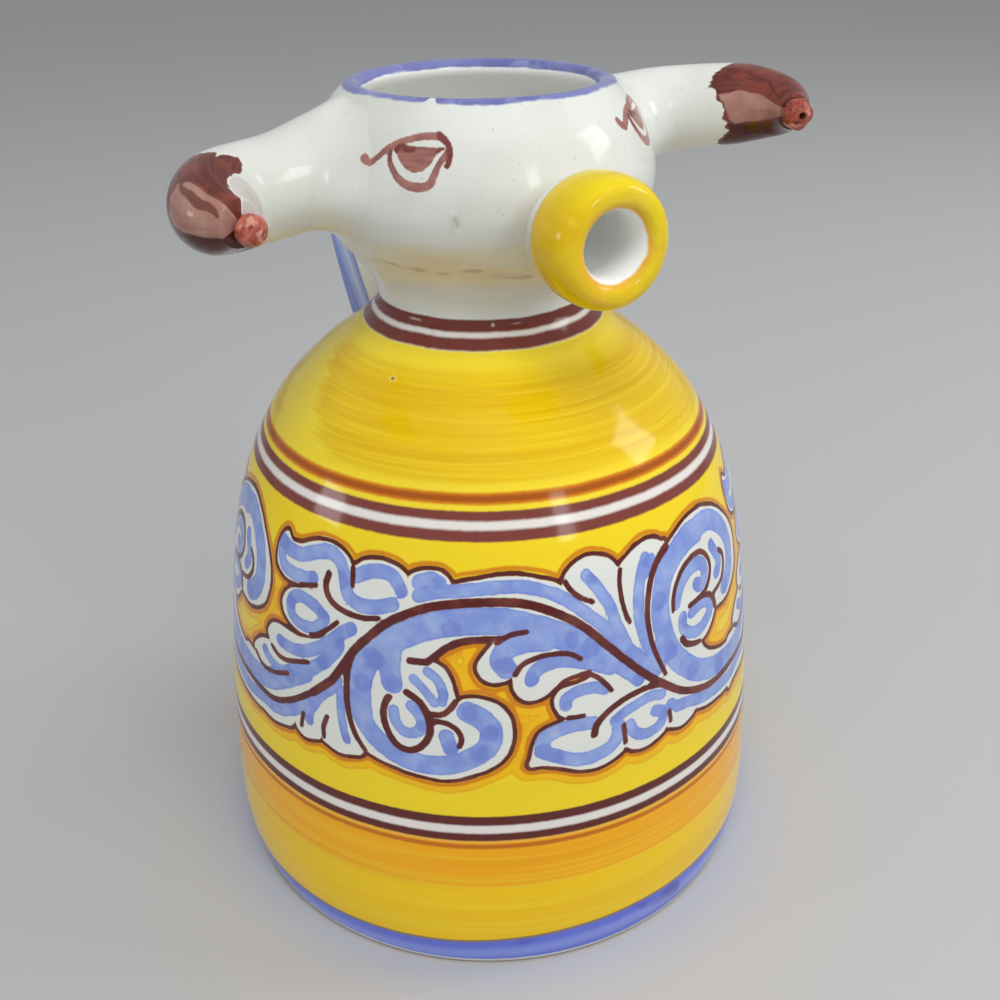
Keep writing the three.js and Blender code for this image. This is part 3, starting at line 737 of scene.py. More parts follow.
# The yellows: the brushed shoulder with a paler lap at its side, the frieze's ground and two low bands.
glaze.lay_bands(level, [(103, 132, pale_yellow, 0.3, 1)])
lapped = glaze.shaken(glaze.shaken(glaze.number("lap"), 16, brush), 8, slow_brush)
shoulder = glaze.shared(glaze.band(level, 111, 126, 1.4), glaze.cover(lapped, 4, 0.8))
glaze.lay(shoulder_yellow, shoulder)
glaze.lay(dark_yellow, shoulder, glaze.above(brush, 0.52, 0.12, 0.65))
glaze.lay(pale_yellow, shoulder, glaze.above(glaze.brushed(0.6, 0.16, 15, 3), 0.56, 0.08, 0.5))
glaze.lay_bands(level, [
    (frieze_foot - 6, frieze_head + 2, lemon, 0.3, 1),
    (24, 37.5, band_orange, 1.2, 1),
    (4, 25, low_yellow, 0.8, 1),
])
low_bands = glaze.band(level, 11, 37, 1)
glaze.lay(pale_yellow, low_bands, glaze.above(brush, 0.54, 0.1, 0.35))
glaze.lay(ochre_line, low_bands, glaze.above(slow_brush, 0.62, 0.14, 0.15))

# Round the leaves the ground was filled in with a deeper yellow, then edged with ochre.
leaf = glaze.shaken(glaze.number("leaf"), 0.14, grain)
fill = glaze.shaken(glaze.less(leaf, 3.3), 1.1, glaze.cloud(9, 5))
low_ground = glaze.below(glaze.height(), 87, 5)
filled = glaze.shared(glaze.cover(fill, 0.25), low_ground)
streaks = glaze.above(glaze.cloud(3, 6), 0.6, 0.07, 0.25)
halo = glaze.shaken(leaf, 0.5, glaze.cloud(7, 7))
glaze.lay(deep_yellow, filled)
glaze.lay(fill_ochre, low_ground, glaze.band(fill, -0.35, -0.05, 0.25, 0.5))
glaze.lay(ochre_line, filled, streaks, glaze.above(glaze.height(), 58, 3))
glaze.lay(halo_ochre, glaze.band(halo, 0.85, 1.75, 0.22, 0.8))

# The leaves are bare white with blue strokes, darker where the brush rested.
leaves = glaze.cover(leaf, 0.12)
blue_edge = glaze.shaken(glaze.number("blue"), 0.28, glaze.cloud(1.8, 8))
blue = glaze.shared(glaze.cover(blue_edge, 0.16), leaves)
dab = glaze.shaken(glaze.number("dab"), 1.1, glaze.cloud(2.4, 51))
glaze.lay(white_tin, leaves)
glaze.lay(painter_blue, blue, glaze.above(glaze.cloud(2.6, 9), 0, 0.75))
glaze.lay(dark_blue, blue, glaze.above(glaze.cloud(4.5, 10), 0.5, 0.14, 0.4))
glaze.lay(dark_blue, blue, glaze.band(blue_edge, -0.38, -0.02, 0.2, 0.35))
glaze.lay(dark_blue, blue, glaze.cover(dab, 0.4, 0.5))

# Manganese brown: the leaves' outline, the stem and the veins.
outline = glaze.stripe(glaze.shaken(leaf, 0.3, glaze.cloud(5, 11)), -0.04, 0.88)
veins = glaze.shaken(glaze.number("brown"), 0.16, grain)
brown = glaze.cover(glaze.work("MINIMUM", outline, veins), 0.14)
glaze.lay(manganese, brown)
glaze.lay(thin_manganese, brown, glaze.above(glaze.cloud(6, 12), 0.56, 0.08, 0.45))

# The lines turned on the wheel, from the shoulder to the foot, and the foot's blue band.
glaze.lay_bands(fine, [
    (107.4, 109.4, shoulder_ochre, 0.3, 0.95),
    (107.9, 108.9, shoulder_umber, 0.25, 0.8),
    (101.2, 106.4, upper_brown, 0.25, 1),
    (103.2, 104.7, line_white, 0.35, 1),
    (37.1, 43.3, lower_brown, 0.25, 1),
    (39, 41, line_white, 0.35, 1),
    (35, 36.2, ochre_line, 0.35, 0.85),
])
foot_height = glaze.shaken(glaze.number("foot_height"), 0.5, glaze.brushed(60, 0.08, 1))
glaze.lay_bands(foot_height, [
    (-4, 9.6, foot_grey, 0.35, 0.8),
    (-4, 8.9, foot_blue, 0.5, 1),
    (2.6, 6.2, foot_pale, 1.4, 0.75),
])
blot = glaze.above(glaze.cloud(11, 13), 0.6, 0.06, 0.7)
glaze.lay(foot_blot, glaze.band(foot_height, 3.5, 8.4, 1.2), blot)
glaze.lay(white_tin, glaze.below(fine, 1.3, 0.3))
pit = glaze.from_spot(wall_place(*body_pit))
glaze.lay(pit_rim, glaze.below(pit, 0.75, 0.3, 0.7))
glaze.lay(pit_heart, glaze.below(pit, 0.4, 0.2, 0.9))
whiten_inside_with_painted_light(glaze)

# The glaze was wiped off the foot's edge, where the clay shows. The brown stands up a little.
bare = glaze.cover(glaze.shaken(glaze.less(glaze.height(), 0.45), 0.2, grain), 0.1)
glaze.lay(bare_clay, bare)
relief = glaze.work("MULTIPLY_ADD", brown, 0.12, glaze.peel())
glaze.fire(body, glaze.work("MULTIPLY_ADD", bare, 0.5, 0.11), relief)
finish_edges(body)
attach(body, "root")
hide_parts("body_bell")


# The neck: a waisted collar of the same clay, thrown alone and luted between the body and the head.
# Its lower seam hides under two brown lines, and its upper one shows the marks of the potter's tool.
neck_top = 147.2
neck_pits = [(-22.7, 133.6), (-53.3, 131.8), (61, 132.6)]
tool_marks = [(-66, -52, 146.4), (-43.3, -29, 146), (-22, -9, 144.9), (18, 40, 145.6), (95, 130, 145.2)]
neck_rows = 52
neck_brown = (114, 54, 46)
stain = (202, 174, 108)
scar_brown = (132, 112, 78)
pit_pink = (222, 196, 190)
neck_profile = np.vstack([
    places_at(pot_line, np.linspace(body_top, neck_top, neck_rows)),
    places_at(inside_line, np.linspace(neck_top, body_top, 12)),
])
neck = skin("neck", throw(turned(neck_profile, pot_columns)), ends="joined")
neck_points = points_of(neck)
neck_turns = angles_of(neck_points)


def hump(away, spread):
    """One in the middle of a hump, fading to nothing past its spread."""
    return np.exp(-((away / spread) ** 2))


def luting(points, height, spread, depth):
    """The rough seam at a height, where wet slip was worked in."""
    return depth * lumps(points, 3.5, 8) * hump(points[:, 2] - height, spread)


def work_surface(piece, points, proud, outer):
    """Moves a piece's outer points outwards by as much as they are proud, and notes the wheel on them."""
    points[:, :2] *= np.where(outer, 1 + proud / reach_of(points), 1)[:, None]
    piece.data.vertices.foreach_set("co", (points * MM).ravel())
    note_wheel(piece, points)


pits = np.min([np.linalg.norm(neck_points - wall_place(*pit), axis=1) for pit in neck_pits], axis=0)
scars = np.zeros(len(neck_points))
for start, end, height in tool_marks:
    place = np.clip(neck_turns, start, end)
    off = neck_points[:, 2] - height - 0.6 * np.sin(np.radians(place * 9))
    drag = 0.5 + 0.5 * lumps(neck_points, 2.5, 9)
    scars += hump(off, 0.45) * hump(neck_turns - place, 2) * drag
neck_inside = past_middle(neck_points, body_wall)
neck_proud = luting(neck_points, 146.6, 1.3, 0.35) - 0.3 * scars - 0.35 * hump(pits, 0.45)
note(neck, "pits", pits)
note(neck, "inside", neck_inside)
note(neck, "scars", scars)
work_surface(neck, neck_points, neck_proud, neck_inside < 0)

glaze = Glaze("white neck glaze", white_tin)
level, fine = wheel_levels(glaze)
glaze.lay(stain, glaze.band(level, 142.5, 152, 3, 0.55), glaze.above(glaze.cloud(11, 14), 0.4, 0.2))
glaze.lay_bands(level, [(127, 129.4, pale_yellow, 0.4, 1)])
glaze.lay_bands(fine, [(129.4, 134.6, neck_brown, 0.25, 1), (131.4, 132.3, line_white, 0.3, 1)])
glaze.lay(scar_brown, glaze.above(glaze.number("scars"), 0.35, 0.3, 0.35))
glaze.lay(pit_pink, glaze.below(glaze.number("pits"), 0.35, 0.2, 0.9))
whiten_inside_with_painted_light(glaze)
glaze.fire(neck, 0.11)
finish_edges(neck)
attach(neck, "root")
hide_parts("neck_collar")


# The head: a thrown bowl, turned over into a wide mouth with a rounded rim. The potter luted it on
# to the neck, bored its front for the muzzle, and dipped it in white. Rim and eyes are painted on.
head_wall = 4.4
head_columns = 480
head_rows = 70
bore_radius = 5.7
borer_length = 60
muzzle_height = 155.2
lip_steps = 12
lip_flatness = 0.91


def at_marks(line, gone, marks):
    """The places at marks along a line, whose own points have gone so far."""
    return np.column_stack([np.interp(marks, gone, line[:, axis]) for axis in range(line.shape[1])])


head_outline = pot_line[pot_line[:, 1] >= neck_top]
head_outline = at_marks(head_outline, np.linspace(0, 1, len(head_outline)), np.linspace(0, 1, head_rows))
head_inside = inward(pot_line, head_wall)
head_inside = head_inside[head_inside[:, 1] > neck_top + head_wall]
outer_end, inner_end = head_outline[-1], head_inside[-1]
lip_centre = (outer_end + inner_end) / 2
lip_start = math.atan2(*(outer_end - lip_centre)[::-1])
lip_turns = lip_start + np.linspace(0, math.pi, lip_steps + 1)[1:-1]
head_profile = np.vstack([
    [[pot_radius(neck_top), neck_top]],
    head_outline[head_outline[:, 1] > neck_top + 0.1],
    arc(lip_centre, head_wall / 2, lip_turns, lip_flatness),
    head_inside[::-2],
    [[radius_at(inside_line, neck_top), neck_top]],
])
head = skin("head", throw(turned(head_profile, head_columns)), ends="joined")
bpy.ops.mesh.primitive_cylinder_add(
    vertices=64, radius=bore_radius * MM, depth=borer_length * MM, rotation=(math.pi / 2, 0, 0),
    location=(0, -borer_length / 2 * MM, muzzle_height * MM),
)
borer = bpy.context.object
bore = head.modifiers.new("bore", "BOOLEAN")
bore.object = borer
bore.operation = "DIFFERENCE"
bore.solver = "EXACT"
head.data = bpy.data.meshes.new_from_object(head.evaluated_get(bpy.context.evaluated_depsgraph_get()))
head.modifiers.clear()
bpy.data.objects.remove(borer)
head_points = points_of(head)
head_turns = angles_of(head_points)

# A scar where a crumb of clay was dragged down, and the chip where the blue left the rim. The blue
# reaches a little lower inside the lip than outside it.
scar_top = (-35.2, 158.6)
scar_foot = (-34.4, 156.4)
scar_depth = 0.3
scar_half_width = 0.7
scar_length = 2.345
rim_chip = -46.4
chip_height = 1.3
chip_half_width = 1.5
blue_foot_outside = 176.3
blue_foot_inside = 175.5
scar_start = wall_place(*scar_top)
scar_along = wall_place(*scar_foot) - scar_start
share = np.clip((head_points - scar_start) @ scar_along / scar_length**2, 0, 1)
from_scar = np.linalg.norm(head_points - scar_start - share[:, None] * scar_along, axis=1)
scar_side = np.where(head_turns < scar_top[0] + 0.4, 1, -0.8)
head_proud = scar_depth * hump(from_scar, scar_half_width) * scar_side
head_proud += luting(head_points, neck_top, 1.2, 0.3)
on_outside = past_middle(head_points, head_wall) < 0
work_surface(head, head_points, head_proud, on_outside)
outside_lip = reach_of(head_points) > lip_centre[0]
blue_foot = np.where(outside_lip, blue_foot_outside, blue_foot_inside)
chip = chip_height * hump(head_turns - rim_chip, chip_half_width) * outside_lip
note(head, "scar", from_scar)
note(head, "inside", past_middle(head_points, head_wall))
note(head, "rim", blue_foot - head_points[:, 2] + 0.2 * lumps(head_points, 7, 5) + chip)

# Each eye is one quick drawing in manganese: a lid with its tail, a stroke at the nose, a lower lid
# and a heavy pupil. Places are degrees and heights, and the second eye is the first moved round: each
# has its degrees moved, its rise, its share of the height, its tail's lift and its brush's share.
eye_radius = 33.5
eye_foot = 163
tail_start = -52
eyes = [(0, 0, 1, 0, 1), (94, 2.8, 0.88, 0.13, 1.35)]
lid = [
    (-65.7, 167.4), (-63.8, 166.4), (-61.3, 167.5), (-58, 169.1), (-54.5, 170.1), (-50.9, 170.8),
    (-46.1, 171.4), (-40.8, 171.5),
]
nose_stroke = [(-40.9, 171.7), (-38.3, 170.7), (-36.9, 169.5), (-37, 168), (-37.6, 166.9)]
lower_lid = [
    (-57.1, 169.2), (-56.4, 167), (-54, 165.2), (-50.7, 163.7), (-46.8, 163.2), (-43.1, 163.6),
    (-41.7, 164.9), (-40.1, 167.2), (-38.1, 168.8),
]
pupil = [
    (-55.8, 169.3), (-52.6, 170.3), (-50.6, 169.9), (-46, 169.8), (-41, 169.8), (-38.4, 169.8),
    (-41.1, 168.6), (-43.1, 166.9), (-45.9, 165.8), (-49, 165.7), (-52, 166.7), (-54.2, 168.1),
]
eye_strokes = [
    (0.5, 0.6, lid), (0.62, 0.5, nose_stroke), (0.45, 0.8, lower_lid[:5]), (0.8, 0.45, lower_lid[4:]),
    (0.7, 0.7, [(-65.9, 167.3), (-65.2, 166.8)]),
]
heavy_strokes = [
    (0.6, 0.5, nose_stroke), (0.5, 0.4, [(-55.2, 168.6), (-53.6, 169.8), (-51.4, 169.2), (-48.6, 169.2)]),
    (0.4, 0.3, [(-56.8, 168.8), (-56.5, 167.2)]), (0.35, 0.3, [(-38.6, 169.6), (-41, 169.2)]),
]
iris_brown = (130, 66, 57)
iris_thin = (180, 126, 114)
lash_brown = (134, 73, 66)
lash_thin = (178, 124, 115)
heavy_brown = (104, 42, 40)
cloud_grey = (196, 198, 188)
speck_brown = (150, 140, 122)
rim_blue = (119, 124, 178)
rim_dark = (94, 96, 158)
rim_pale = (150, 158, 200)
scar_shadow = (120, 104, 80)


def draw_eyes(piece, points, outside):
    """Notes on a piece how far its points are from the eyes' strokes and pupils."""
    drawn = {name: np.full(len(points), far_away) for name in ("lash", "heavy", "iris")}
    for moved, raised, tall, tail_lift, bold in eyes:
        turns = angles_of(points) - moved
        heights = eye_foot + (points[:, 2] - raised - eye_foot) / tall
        heights -= tail_lift * np.maximum(tail_start - turns, 0)
        places = unrolled(np.column_stack([turns, heights]), eye_radius)
        edges = {
            "lash": strokes_edge(places, eye_strokes, eye_radius, 5, bold),
            "heavy": strokes_edge(places, heavy_strokes, eye_radius, 5, bold),
            "iris": shapes_edge(places, [pupil], eye_radius, 4),
        }
        for name, edge in edges.items():
            drawn[name] = np.minimum(drawn[name], edge)
    for name, edge in drawn.items():
        note(piece, name, np.where(outside, edge, far_away))


def paint_eyes(glaze):
    """The eyes' manganese, thin enough that the white shows through it."""
    grain = glaze.cloud(0.8, 16)
    iris = glaze.cover(glaze.shaken(glaze.number("iris"), 0.25, grain), 0.15, 0.92)
    lash = glaze.cover(glaze.shaken(glaze.number("lash"), 0.2, grain), 0.14, 0.93)
    heavy = glaze.cover(glaze.shaken(glaze.number("heavy"), 0.3, grain), 0.3, 0.85)
    glaze.lay(iris_brown, iris)
    glaze.lay(iris_thin, iris, glaze.above(glaze.brushed(0.7, 0.03, 19), 0.55, 0.1, 0.5))
    glaze.lay(lash_brown, lash)
    glaze.lay(lash_thin, lash, glaze.above(glaze.cloud(3, 20), 0.5, 0.1, 0.6))
    glaze.lay(heavy_brown, heavy, glaze.work("MAXIMUM", iris, lash))


def cloud_white(glaze):
    """Faint grey clouds, where the dipped white is thinner."""
    glaze.lay(cloud_grey, glaze.above(glaze.cloud(26, 17), 0.56, 0.12, 0.5))


def speck_white(glaze):
    """Specks of iron that came up through the white."""
    glaze.lay(speck_brown, glaze.above(glaze.cloud(0.6, 18, 0), 0.8, 0.02, 0.4))


draw_eyes(head, head_points, on_outside)
glaze = Glaze("white head glaze", white_tin)
stained = glaze.band(glaze.height(), 141, 151, 3, 0.5)
glaze.lay(stain, stained, glaze.above(glaze.cloud(11, 14), 0.45, 0.2))
cloud_white(glaze)
speck_white(glaze)
whiten_inside_with_painted_light(glaze)
paint_eyes(glaze)
rim = glaze.cover(glaze.shaken(glaze.number("rim"), 0.3, glaze.cloud(3, 21)), 0.22)
glaze.lay(rim_blue, rim)
glaze.lay(rim_dark, rim, glaze.above(glaze.brushed(3, 0.08, 22), 0.5, 0.1, 0.6))
glaze.lay(rim_pale, rim, glaze.above(glaze.cloud(3.5, 23), 0.6, 0.08, 0.5))
glaze.lay(scar_shadow, glaze.below(glaze.number("scar"), 0.25, 0.25, 0.5))
glaze.fire(head, 0.11)
finish_edges(head)
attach(head, "root")
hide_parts("head_bowl")


# The spout behind the muzzle: a short bored tube of clay, worked out on to the head with a wet finger
# and dipped in white with it. What is poured runs through it.
spout_wall = 2.4
ring_radius = 8.95
ring_half_width = 3.25
ring_half_length = 6.4
ring_squareness = 2.5
ring_gap = 3.7
spout_columns = 96
spout_steps = 60
spout_rows = 8
spout_root_rise = 1.6
bore_steps = 16
bore_flare = 0.4
root_limit = 175.2
fillet_depth = 0.25
root_depth = 1.5


def outside_wall(points):
    """Millimetres level from the jug's wall, positive outside it."""
    return reach_of(points) - pot_radius(points[..., 2])


def into_wall(points, depth):
    """Points moved level to a depth in the jug's wall."""
    moved = points.copy()
    moved[..., :2] *= ((pot_radius(points[..., 2]) - depth) / reach_of(points))[..., None]
    return moved


def lengths_along(line):
    """How far along a line each of its points lies."""
    return np.concatenate([[0], np.cumsum(np.linalg.norm(np.diff(line, axis=0), axis=1))])


def rooted(lines, middles, spreads, rise, rows, bend_rows=8):
    """Rows for a limb whose lines of points leave the jug's wall. Each line starts sunk in the wall,
    curves out of it over a spread, given for its sides and its top, and a rise, and runs on to its end.
    No root climbs past the limit under the rim."""
    gap = outside_wall(lines)
    first = np.argmax(gap > 0, axis=0)
    grown = []
    for column, i in enumerate(first):
        line = lines[:, column]
        share = gap[i - 1, column] / (gap[i - 1, column] - gap[i, column])
        corner = line[i - 1] + share * (line[i] - line[i - 1])
        free = np.vstack([corner, line[i:]])
        gone = lengths_along(free)
        outward = (corner - middles[i]) / np.linalg.norm(corner - middles[i])
        spread = math.hypot(spreads[0] * math.hypot(*outward[:2]), spreads[1] * outward[2])
        foot = corner + outward * spread
        foot[2] = min(foot[2], max(root_limit, corner[2]))
        foot = into_wall(foot, fillet_depth)
        tube = at_marks(free, gone, rise + (gone[-1] - rise) * np.linspace(0, 1, rows))
        bends = np.linspace(0, 1, bend_rows + 1)[:-1, None]
        fillet = (1 - bends) ** 2 * foot + 2 * bends * (1 - bends) * corner + bends**2 * tube[0]
        grown.append(np.vstack([into_wall(foot, root_depth), fillet, tube]))
    return np.array(grown).transpose(1, 0, 2)


def muzzle_rounds(radii, reaches):
    """Rounds about the muzzle's axis, each at its radius and its reach from the jug's axis."""
    angles = np.linspace(0, 2 * math.pi, spout_columns, endpoint=False)
    rows = np.empty((len(radii), spout_columns, 3))
    rows[..., 0] = np.outer(radii, np.cos(angles))
    rows[..., 1] = -np.array(reaches)[:, None]
    rows[..., 2] = muzzle_height + np.outer(radii, np.sin(angles))
    return rows


head_front = float(pot_radius(muzzle_height))
ring_reach = head_front + ring_gap + ring_half_length
spout_end = ring_reach - 1.5
spout_lines = muzzle_rounds(
    np.full(spout_steps, bore_radius + spout_wall), np.linspace(head_front - 4, spout_end, spout_steps)
)
spout_outside = rooted(spout_lines, spout_lines.mean(axis=1), (1, 1), spout_root_rise, spout_rows)
spout_inside = muzzle_rounds(
    bore_radius - 0.1 + bore_flare * np.linspace(1, 0, bore_steps) ** 2,
    np.linspace(spout_end, head_front - 3.5, bore_steps),
)
spout = skin("spout", np.concatenate([spout_outside, spout_inside]), ends="joined")
spout_points = points_of(spout)
note_wheel(spout, spout_points)
note(spout, "bore", np.hypot(spout_points[:, 0], spout_points[:, 2] - muzzle_height))
glaze = Glaze("white spout glaze", white_tin)
cloud_white(glaze)
# The bore is laid with the brighter inside white, as painted light.
glaze.lay(inner_white_painted_light, glaze.below(glaze.number("bore"), bore_radius + 0.8, 0.3))
glaze.fire(spout, 0.11)
finish_edges(spout)
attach(spout, "root")
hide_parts("muzzle_spout")


# The muzzle's ring: a fat ring of clay pressed on to the spout, dipped in white and painted yellow.
# The yellow stops just inside the mouth, where it thins over the white.
ring_yellow = (228, 202, 20)
ring_dark = (206, 168, 4)
ring_amber_painted_shade = (220, 164, 2)
ring_pale = (240, 214, 70)
mouth_orange = (226, 150, 70)
mouth_depth = 5


def soft_square(columns, squareness):
    """Points on a softly squared round of unit size."""
    angles = np.linspace(0, 2 * math.pi, columns, endpoint=False)
    both = np.column_stack([np.cos(angles), np.sin(angles)])
    return np.sign(both) * np.abs(both) ** (2 / squareness)


ring_section = soft_square(72, ring_squareness)
ring_rows = muzzle_rounds(
    ring_radius + ring_half_width * ring_section[:, 0], ring_reach - ring_half_length * ring_section[:, 1]
)
ring_centre = np.array([0, -ring_reach, muzzle_height])
hand = 0.012 * lumps(ring_rows.reshape(-1, 3), 11, 24) - 0.012
ring_rows = ring_centre + (ring_rows - ring_centre) * (1 + hand.reshape(ring_rows.shape[:2])[..., None])
ring = skin("ring", ring_rows, ends="joined")
ring_points = points_of(ring)
ring_side, ring_up = ring_points[:, 0], ring_points[:, 2] - muzzle_height
ring_away = np.hypot(ring_side, ring_up)
ring_ahead = -ring_points[:, 1] - ring_reach
in_mouth = np.maximum(ring_away - ring_radius, ring_ahead - mouth_depth)
note(ring, "mouth", in_mouth + 0.3 * lumps(ring_points, 5, 25))
note(ring, "shaded_low_side", (-ring_side - 0.6 * ring_up) / ring_away)
note(ring, "wheel", np.column_stack([ring_side / ring_away, ring_up / ring_away, ring_away]))
glaze = Glaze("yellow ring glaze", ring_yellow)
# Towards its lower left side the ring is painted amber in patches, as painted shade.
shaded_low_side = glaze.above(glaze.number("shaded_low_side"), 0.2, 0.5)
glaze.lay(ring_dark, glaze.above(glaze.brushed(1.6, 0.1, 26), 0.54, 0.1, 0.35))
glaze.lay(ring_amber_painted_shade, shaded_low_side, glaze.above(glaze.cloud(7, 27), 0.46, 0.12, 0.4))
glaze.lay(ring_pale, glaze.above(glaze.cloud(5, 28), 0.6, 0.08, 0.4))
glaze.lay(mouth_orange, glaze.below(glaze.number("mouth"), 0.9, 0.5, 0.5))
# Inside the mouth the white is the brighter inside white, as painted light.
glaze.lay(inner_white_painted_light, glaze.cover(glaze.shaken(glaze.number("mouth"), 0.3, glaze.cloud(2, 29)), 0.3))
glaze.fire(ring, 0.1)
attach(ring, "root")
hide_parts("muzzle_ring")


# The horns: hollow arms of clay drawn by hand, luted to the head and smoothed on to it. They are
# dipped in white, and their swollen ends are brushed with manganese. No two are alike.
brow_height = 161
brow_radius = 35.3
horn_columns = 200
horn_rows = 110
horn_steps = 200
horn_root_spreads = (9, 4.5)
horn_root_rise = 7
crown_steps = 7
crown_rise = 0.3
right_girth = 0.9
# Stations along a horn: how far out from the brow and how far ahead it is, and its radius.
horn_stations = [(-7.3, 0, 11), (7.2, 3, 9.7), (21.7, 11, 9.2), (24.9, 19.5, 6.9), (23.1, 26, 4.1)]
left_lifts = [3.2, 0.8, 0.8, 0.8, 0.8]
right_lifts = [3.2, 6.1, 7.1, 7.6, 7.6]


def horn_form(sign, girth, lifts):
    """A horn's middle line, its radii and the directions along, across and upward, in even steps."""
    places = [
        (sign * (brow_radius + out), -ahead, brow_height + lift)
        for (out, ahead, _), lift in zip(horn_stations, lifts)
    ]
    middles = curve_through(places, 40, evenness=0.5)
    radii = curve_through([(radius * girth, 0) for *_, radius in horn_stations], 40)[:, 0]
    gone = lengths_along(middles)
    marks = np.linspace(0, gone[-1], horn_steps)
    middles = at_marks(middles, gone, marks)
    radii = np.interp(marks, gone, radii)
    along = unit(np.gradient(middles, axis=0))
    across = unit(np.cross([0, 0, 1], along))
    return middles, radii, along, across, np.cross(along, across)


def loops(middles, radii, across, upward, columns):
    """Round loops about a middle line."""
    angles = np.linspace(0, 2 * math.pi, columns, endpoint=False)
    sides = np.cos(angles)[None, :, None] * across[:, None] + np.sin(angles)[None, :, None] * upward[:, None]
    return middles[:, None] + radii[:, None, None] * sides


def horn_places(points, form):
    """Degrees round a horn, and millimetres back from its tip, of points on it."""
    middles, along, across, upward = form
    nearest = np.argmin(((points[:, None] - middles[None]) ** 2).sum(axis=2), axis=1)
    away = points - middles[nearest]
    ahead, aside, above = ((away * way[nearest]).sum(axis=1) for way in (along, across, upward))
    step = np.linalg.norm(middles[1] - middles[0])
    return np.degrees(np.arctan2(above, aside)) % 360, (len(middles) - 1 - nearest) * step - ahead


def make_horn(name, sign, girth, lifts, seed):
    """A horn, from its root in the head's wall to the seat of its nub."""
    middles, radii, along, across, upward = horn_form(sign, girth, lifts)
    lines = loops(middles, radii, across, upward, horn_columns)
    rows = rooted(lines, middles, horn_root_spreads, horn_root_rise, horn_rows, 16)
    crown = []
    for bend in np.linspace(0, math.pi / 2, crown_steps)[1:-1]:
        crown_middle = middles[-1] + along[-1] * crown_rise * math.sin(bend)
        crown.append(crown_middle + (1 + 3 * math.cos(bend)) / 4 * (rows[-1] - middles[-1]))
    rows = np.concatenate([rows, crown])
    points = rows.reshape(-1, 3)
    from_middle = points - rows.mean(axis=1).repeat(horn_columns, axis=0)
    hand = 0.22 * lumps(points, 16, seed) - 0.1
    keep = np.clip(outside_wall(points) / 4, 0, 1)
    away = np.maximum(np.linalg.norm(from_middle, axis=1), 1)
    points = points + from_middle * (hand * keep / away)[:, None]
    return skin(name, points.reshape(rows.shape)), (middles, along, across, upward)


left_horn, left_form = make_horn("horn_left", -1, 1, left_lifts, 21)
right_horn, right_form = make_horn("horn_right", 1, right_girth, right_lifts, 22)

# The brown on each horn, as degrees round it and millimetres back from its tip: where it ends, the
# paler patch that the brush left in it, the left horn's grey crescent, the streaks, and the darker
# brown on the undersides, which is painted shade.
# On the rolled-out horn a degree is this many millimetres.
degree_span = 0.14
left_brown = [
    (114, 15.8), (100, 15), (87, 14.8), (84, 13.6), (63, 15.3), (54, 13.8), (48, 10.5), (69, 6.3),
    (75, 4.4), (81, 1.2), (84, -4), (200, -4), (325, -4), (330, 8), (325, 17), (300, 19.5), (270, 17),
    (240, 19), (214, 16.5), (190, 18.5), (170, 16.4), (150, 17.6), (132, 15.2),
]
left_pale = [
    (159, 9.8), (141, 9.4), (122, 7.4), (120, 5), (122, 1.9), (124, -3), (208, -3), (200, 1),
    (195, 4.4), (189, 8.3), (174, 9.6),
]
left_crescent = [(84, -4), (69, 5.6), (57, 8), (42, 8.5), (21, 9.4), (-6, 11.2), (-15, 8), (-15, -4)]
left_streaks = [
    (0.5, 1.3, [(134, 8), (136, 5.6), (141, 3.4)]), (1.3, 0.5, [(141, 3.4), (147, 1.8), (154, 0.8)]),
]
left_painted_shade = [
    (200, -4), (200, 1), (196, 4.4), (190, 8.6), (178, 11), (174, 15), (190, 17.5), (240, 18), (300, 18.5),
    (322, 16), (326, 8), (322, -4),
]
right_brown = [
    (-42, -4), (400, -4), (400, 15), (378, 16), (360, 16.8), (340, 17.5), (318, 18), (290, 20),
    (262, 18.4), (240, 21.4), (228, 21.4), (210, 18.2),
    (204, 19.8), (195, 19.4), (189, 21), (180, 20.6), (159, 22.7), (150, 22.7), (144, 24.9),
    (141, 24.5), (135, 23.2), (126, 23.2), (102, 19), (84, 17), (66, 18.6), (40, 15), (18, 16),
    (0, 16.8), (-20, 17.5), (-42, 18),
]
right_pale = [
    (156, 22), (153, 14.1), (156, 5.4), (160, -2), (190, -2), (205, 4.8), (201, 10.8), (194, 17.8),
    (180, 20),
]
right_streaks = [
    (0.25, 0.5, [(120, 14), (126, 7), (140, 1)]), (0.7, 0.5, [(132, 1.4), (99, 1.5), (78, 1.2)]),
]
right_painted_shade = [
    (196, 19), (205, 12), (214, 5.8), (206, -3), (300, -4), (316, 16), (290, 18), (262, 17), (240, 20),
    (226, 20), (214, 18),
]
horn_paint = [
    (left_horn, left_form, (left_brown, left_pale, left_painted_shade), left_streaks, [left_crescent]),
    (right_horn, right_form, (right_brown, right_pale, right_painted_shade), right_streaks, []),
]


def on_horn(places):
    """Places in degrees and millimetres, as millimetres on a horn rolled out flat."""
    return np.array(places) * [degree_span, 1]


for horn, form, shapes, streak_lines, crescents in horn_paint:
    horn_points = points_of(horn)
    turns, back = horn_places(horn_points, form)
    places = on_horn(np.column_stack([turns, back])) + 0.35 * wandering(horn_points, 2.2, 60)
    for name, shape in zip(("brown", "pale", "painted_shade"), shapes):
        note(horn, name, shape_edge(places, on_horn(shape)))
    crescent_edge = np.full(len(horn_points), far_away)
    for grey_crescent in crescents:
        for lap in (0, 360):
            crescent_edge = np.minimum(crescent_edge, shape_edge(places - on_horn((lap, 0)), on_horn(grey_crescent)))
    streaks = [
        stroke_edge(places, curve_through(on_horn(line), 5), start, end)
        for start, end, line in streak_lines
    ]
    note(horn, "grey_crescent", crescent_edge)
    note(horn, "streak", np.min(streaks, axis=0))
    draw_eyes(horn, horn_points, np.abs(outside_wall(horn_points)) < 4)
    angle = np.radians(turns)
    note(horn, "wheel", np.column_stack([np.cos(angle), np.sin(angle), back]))

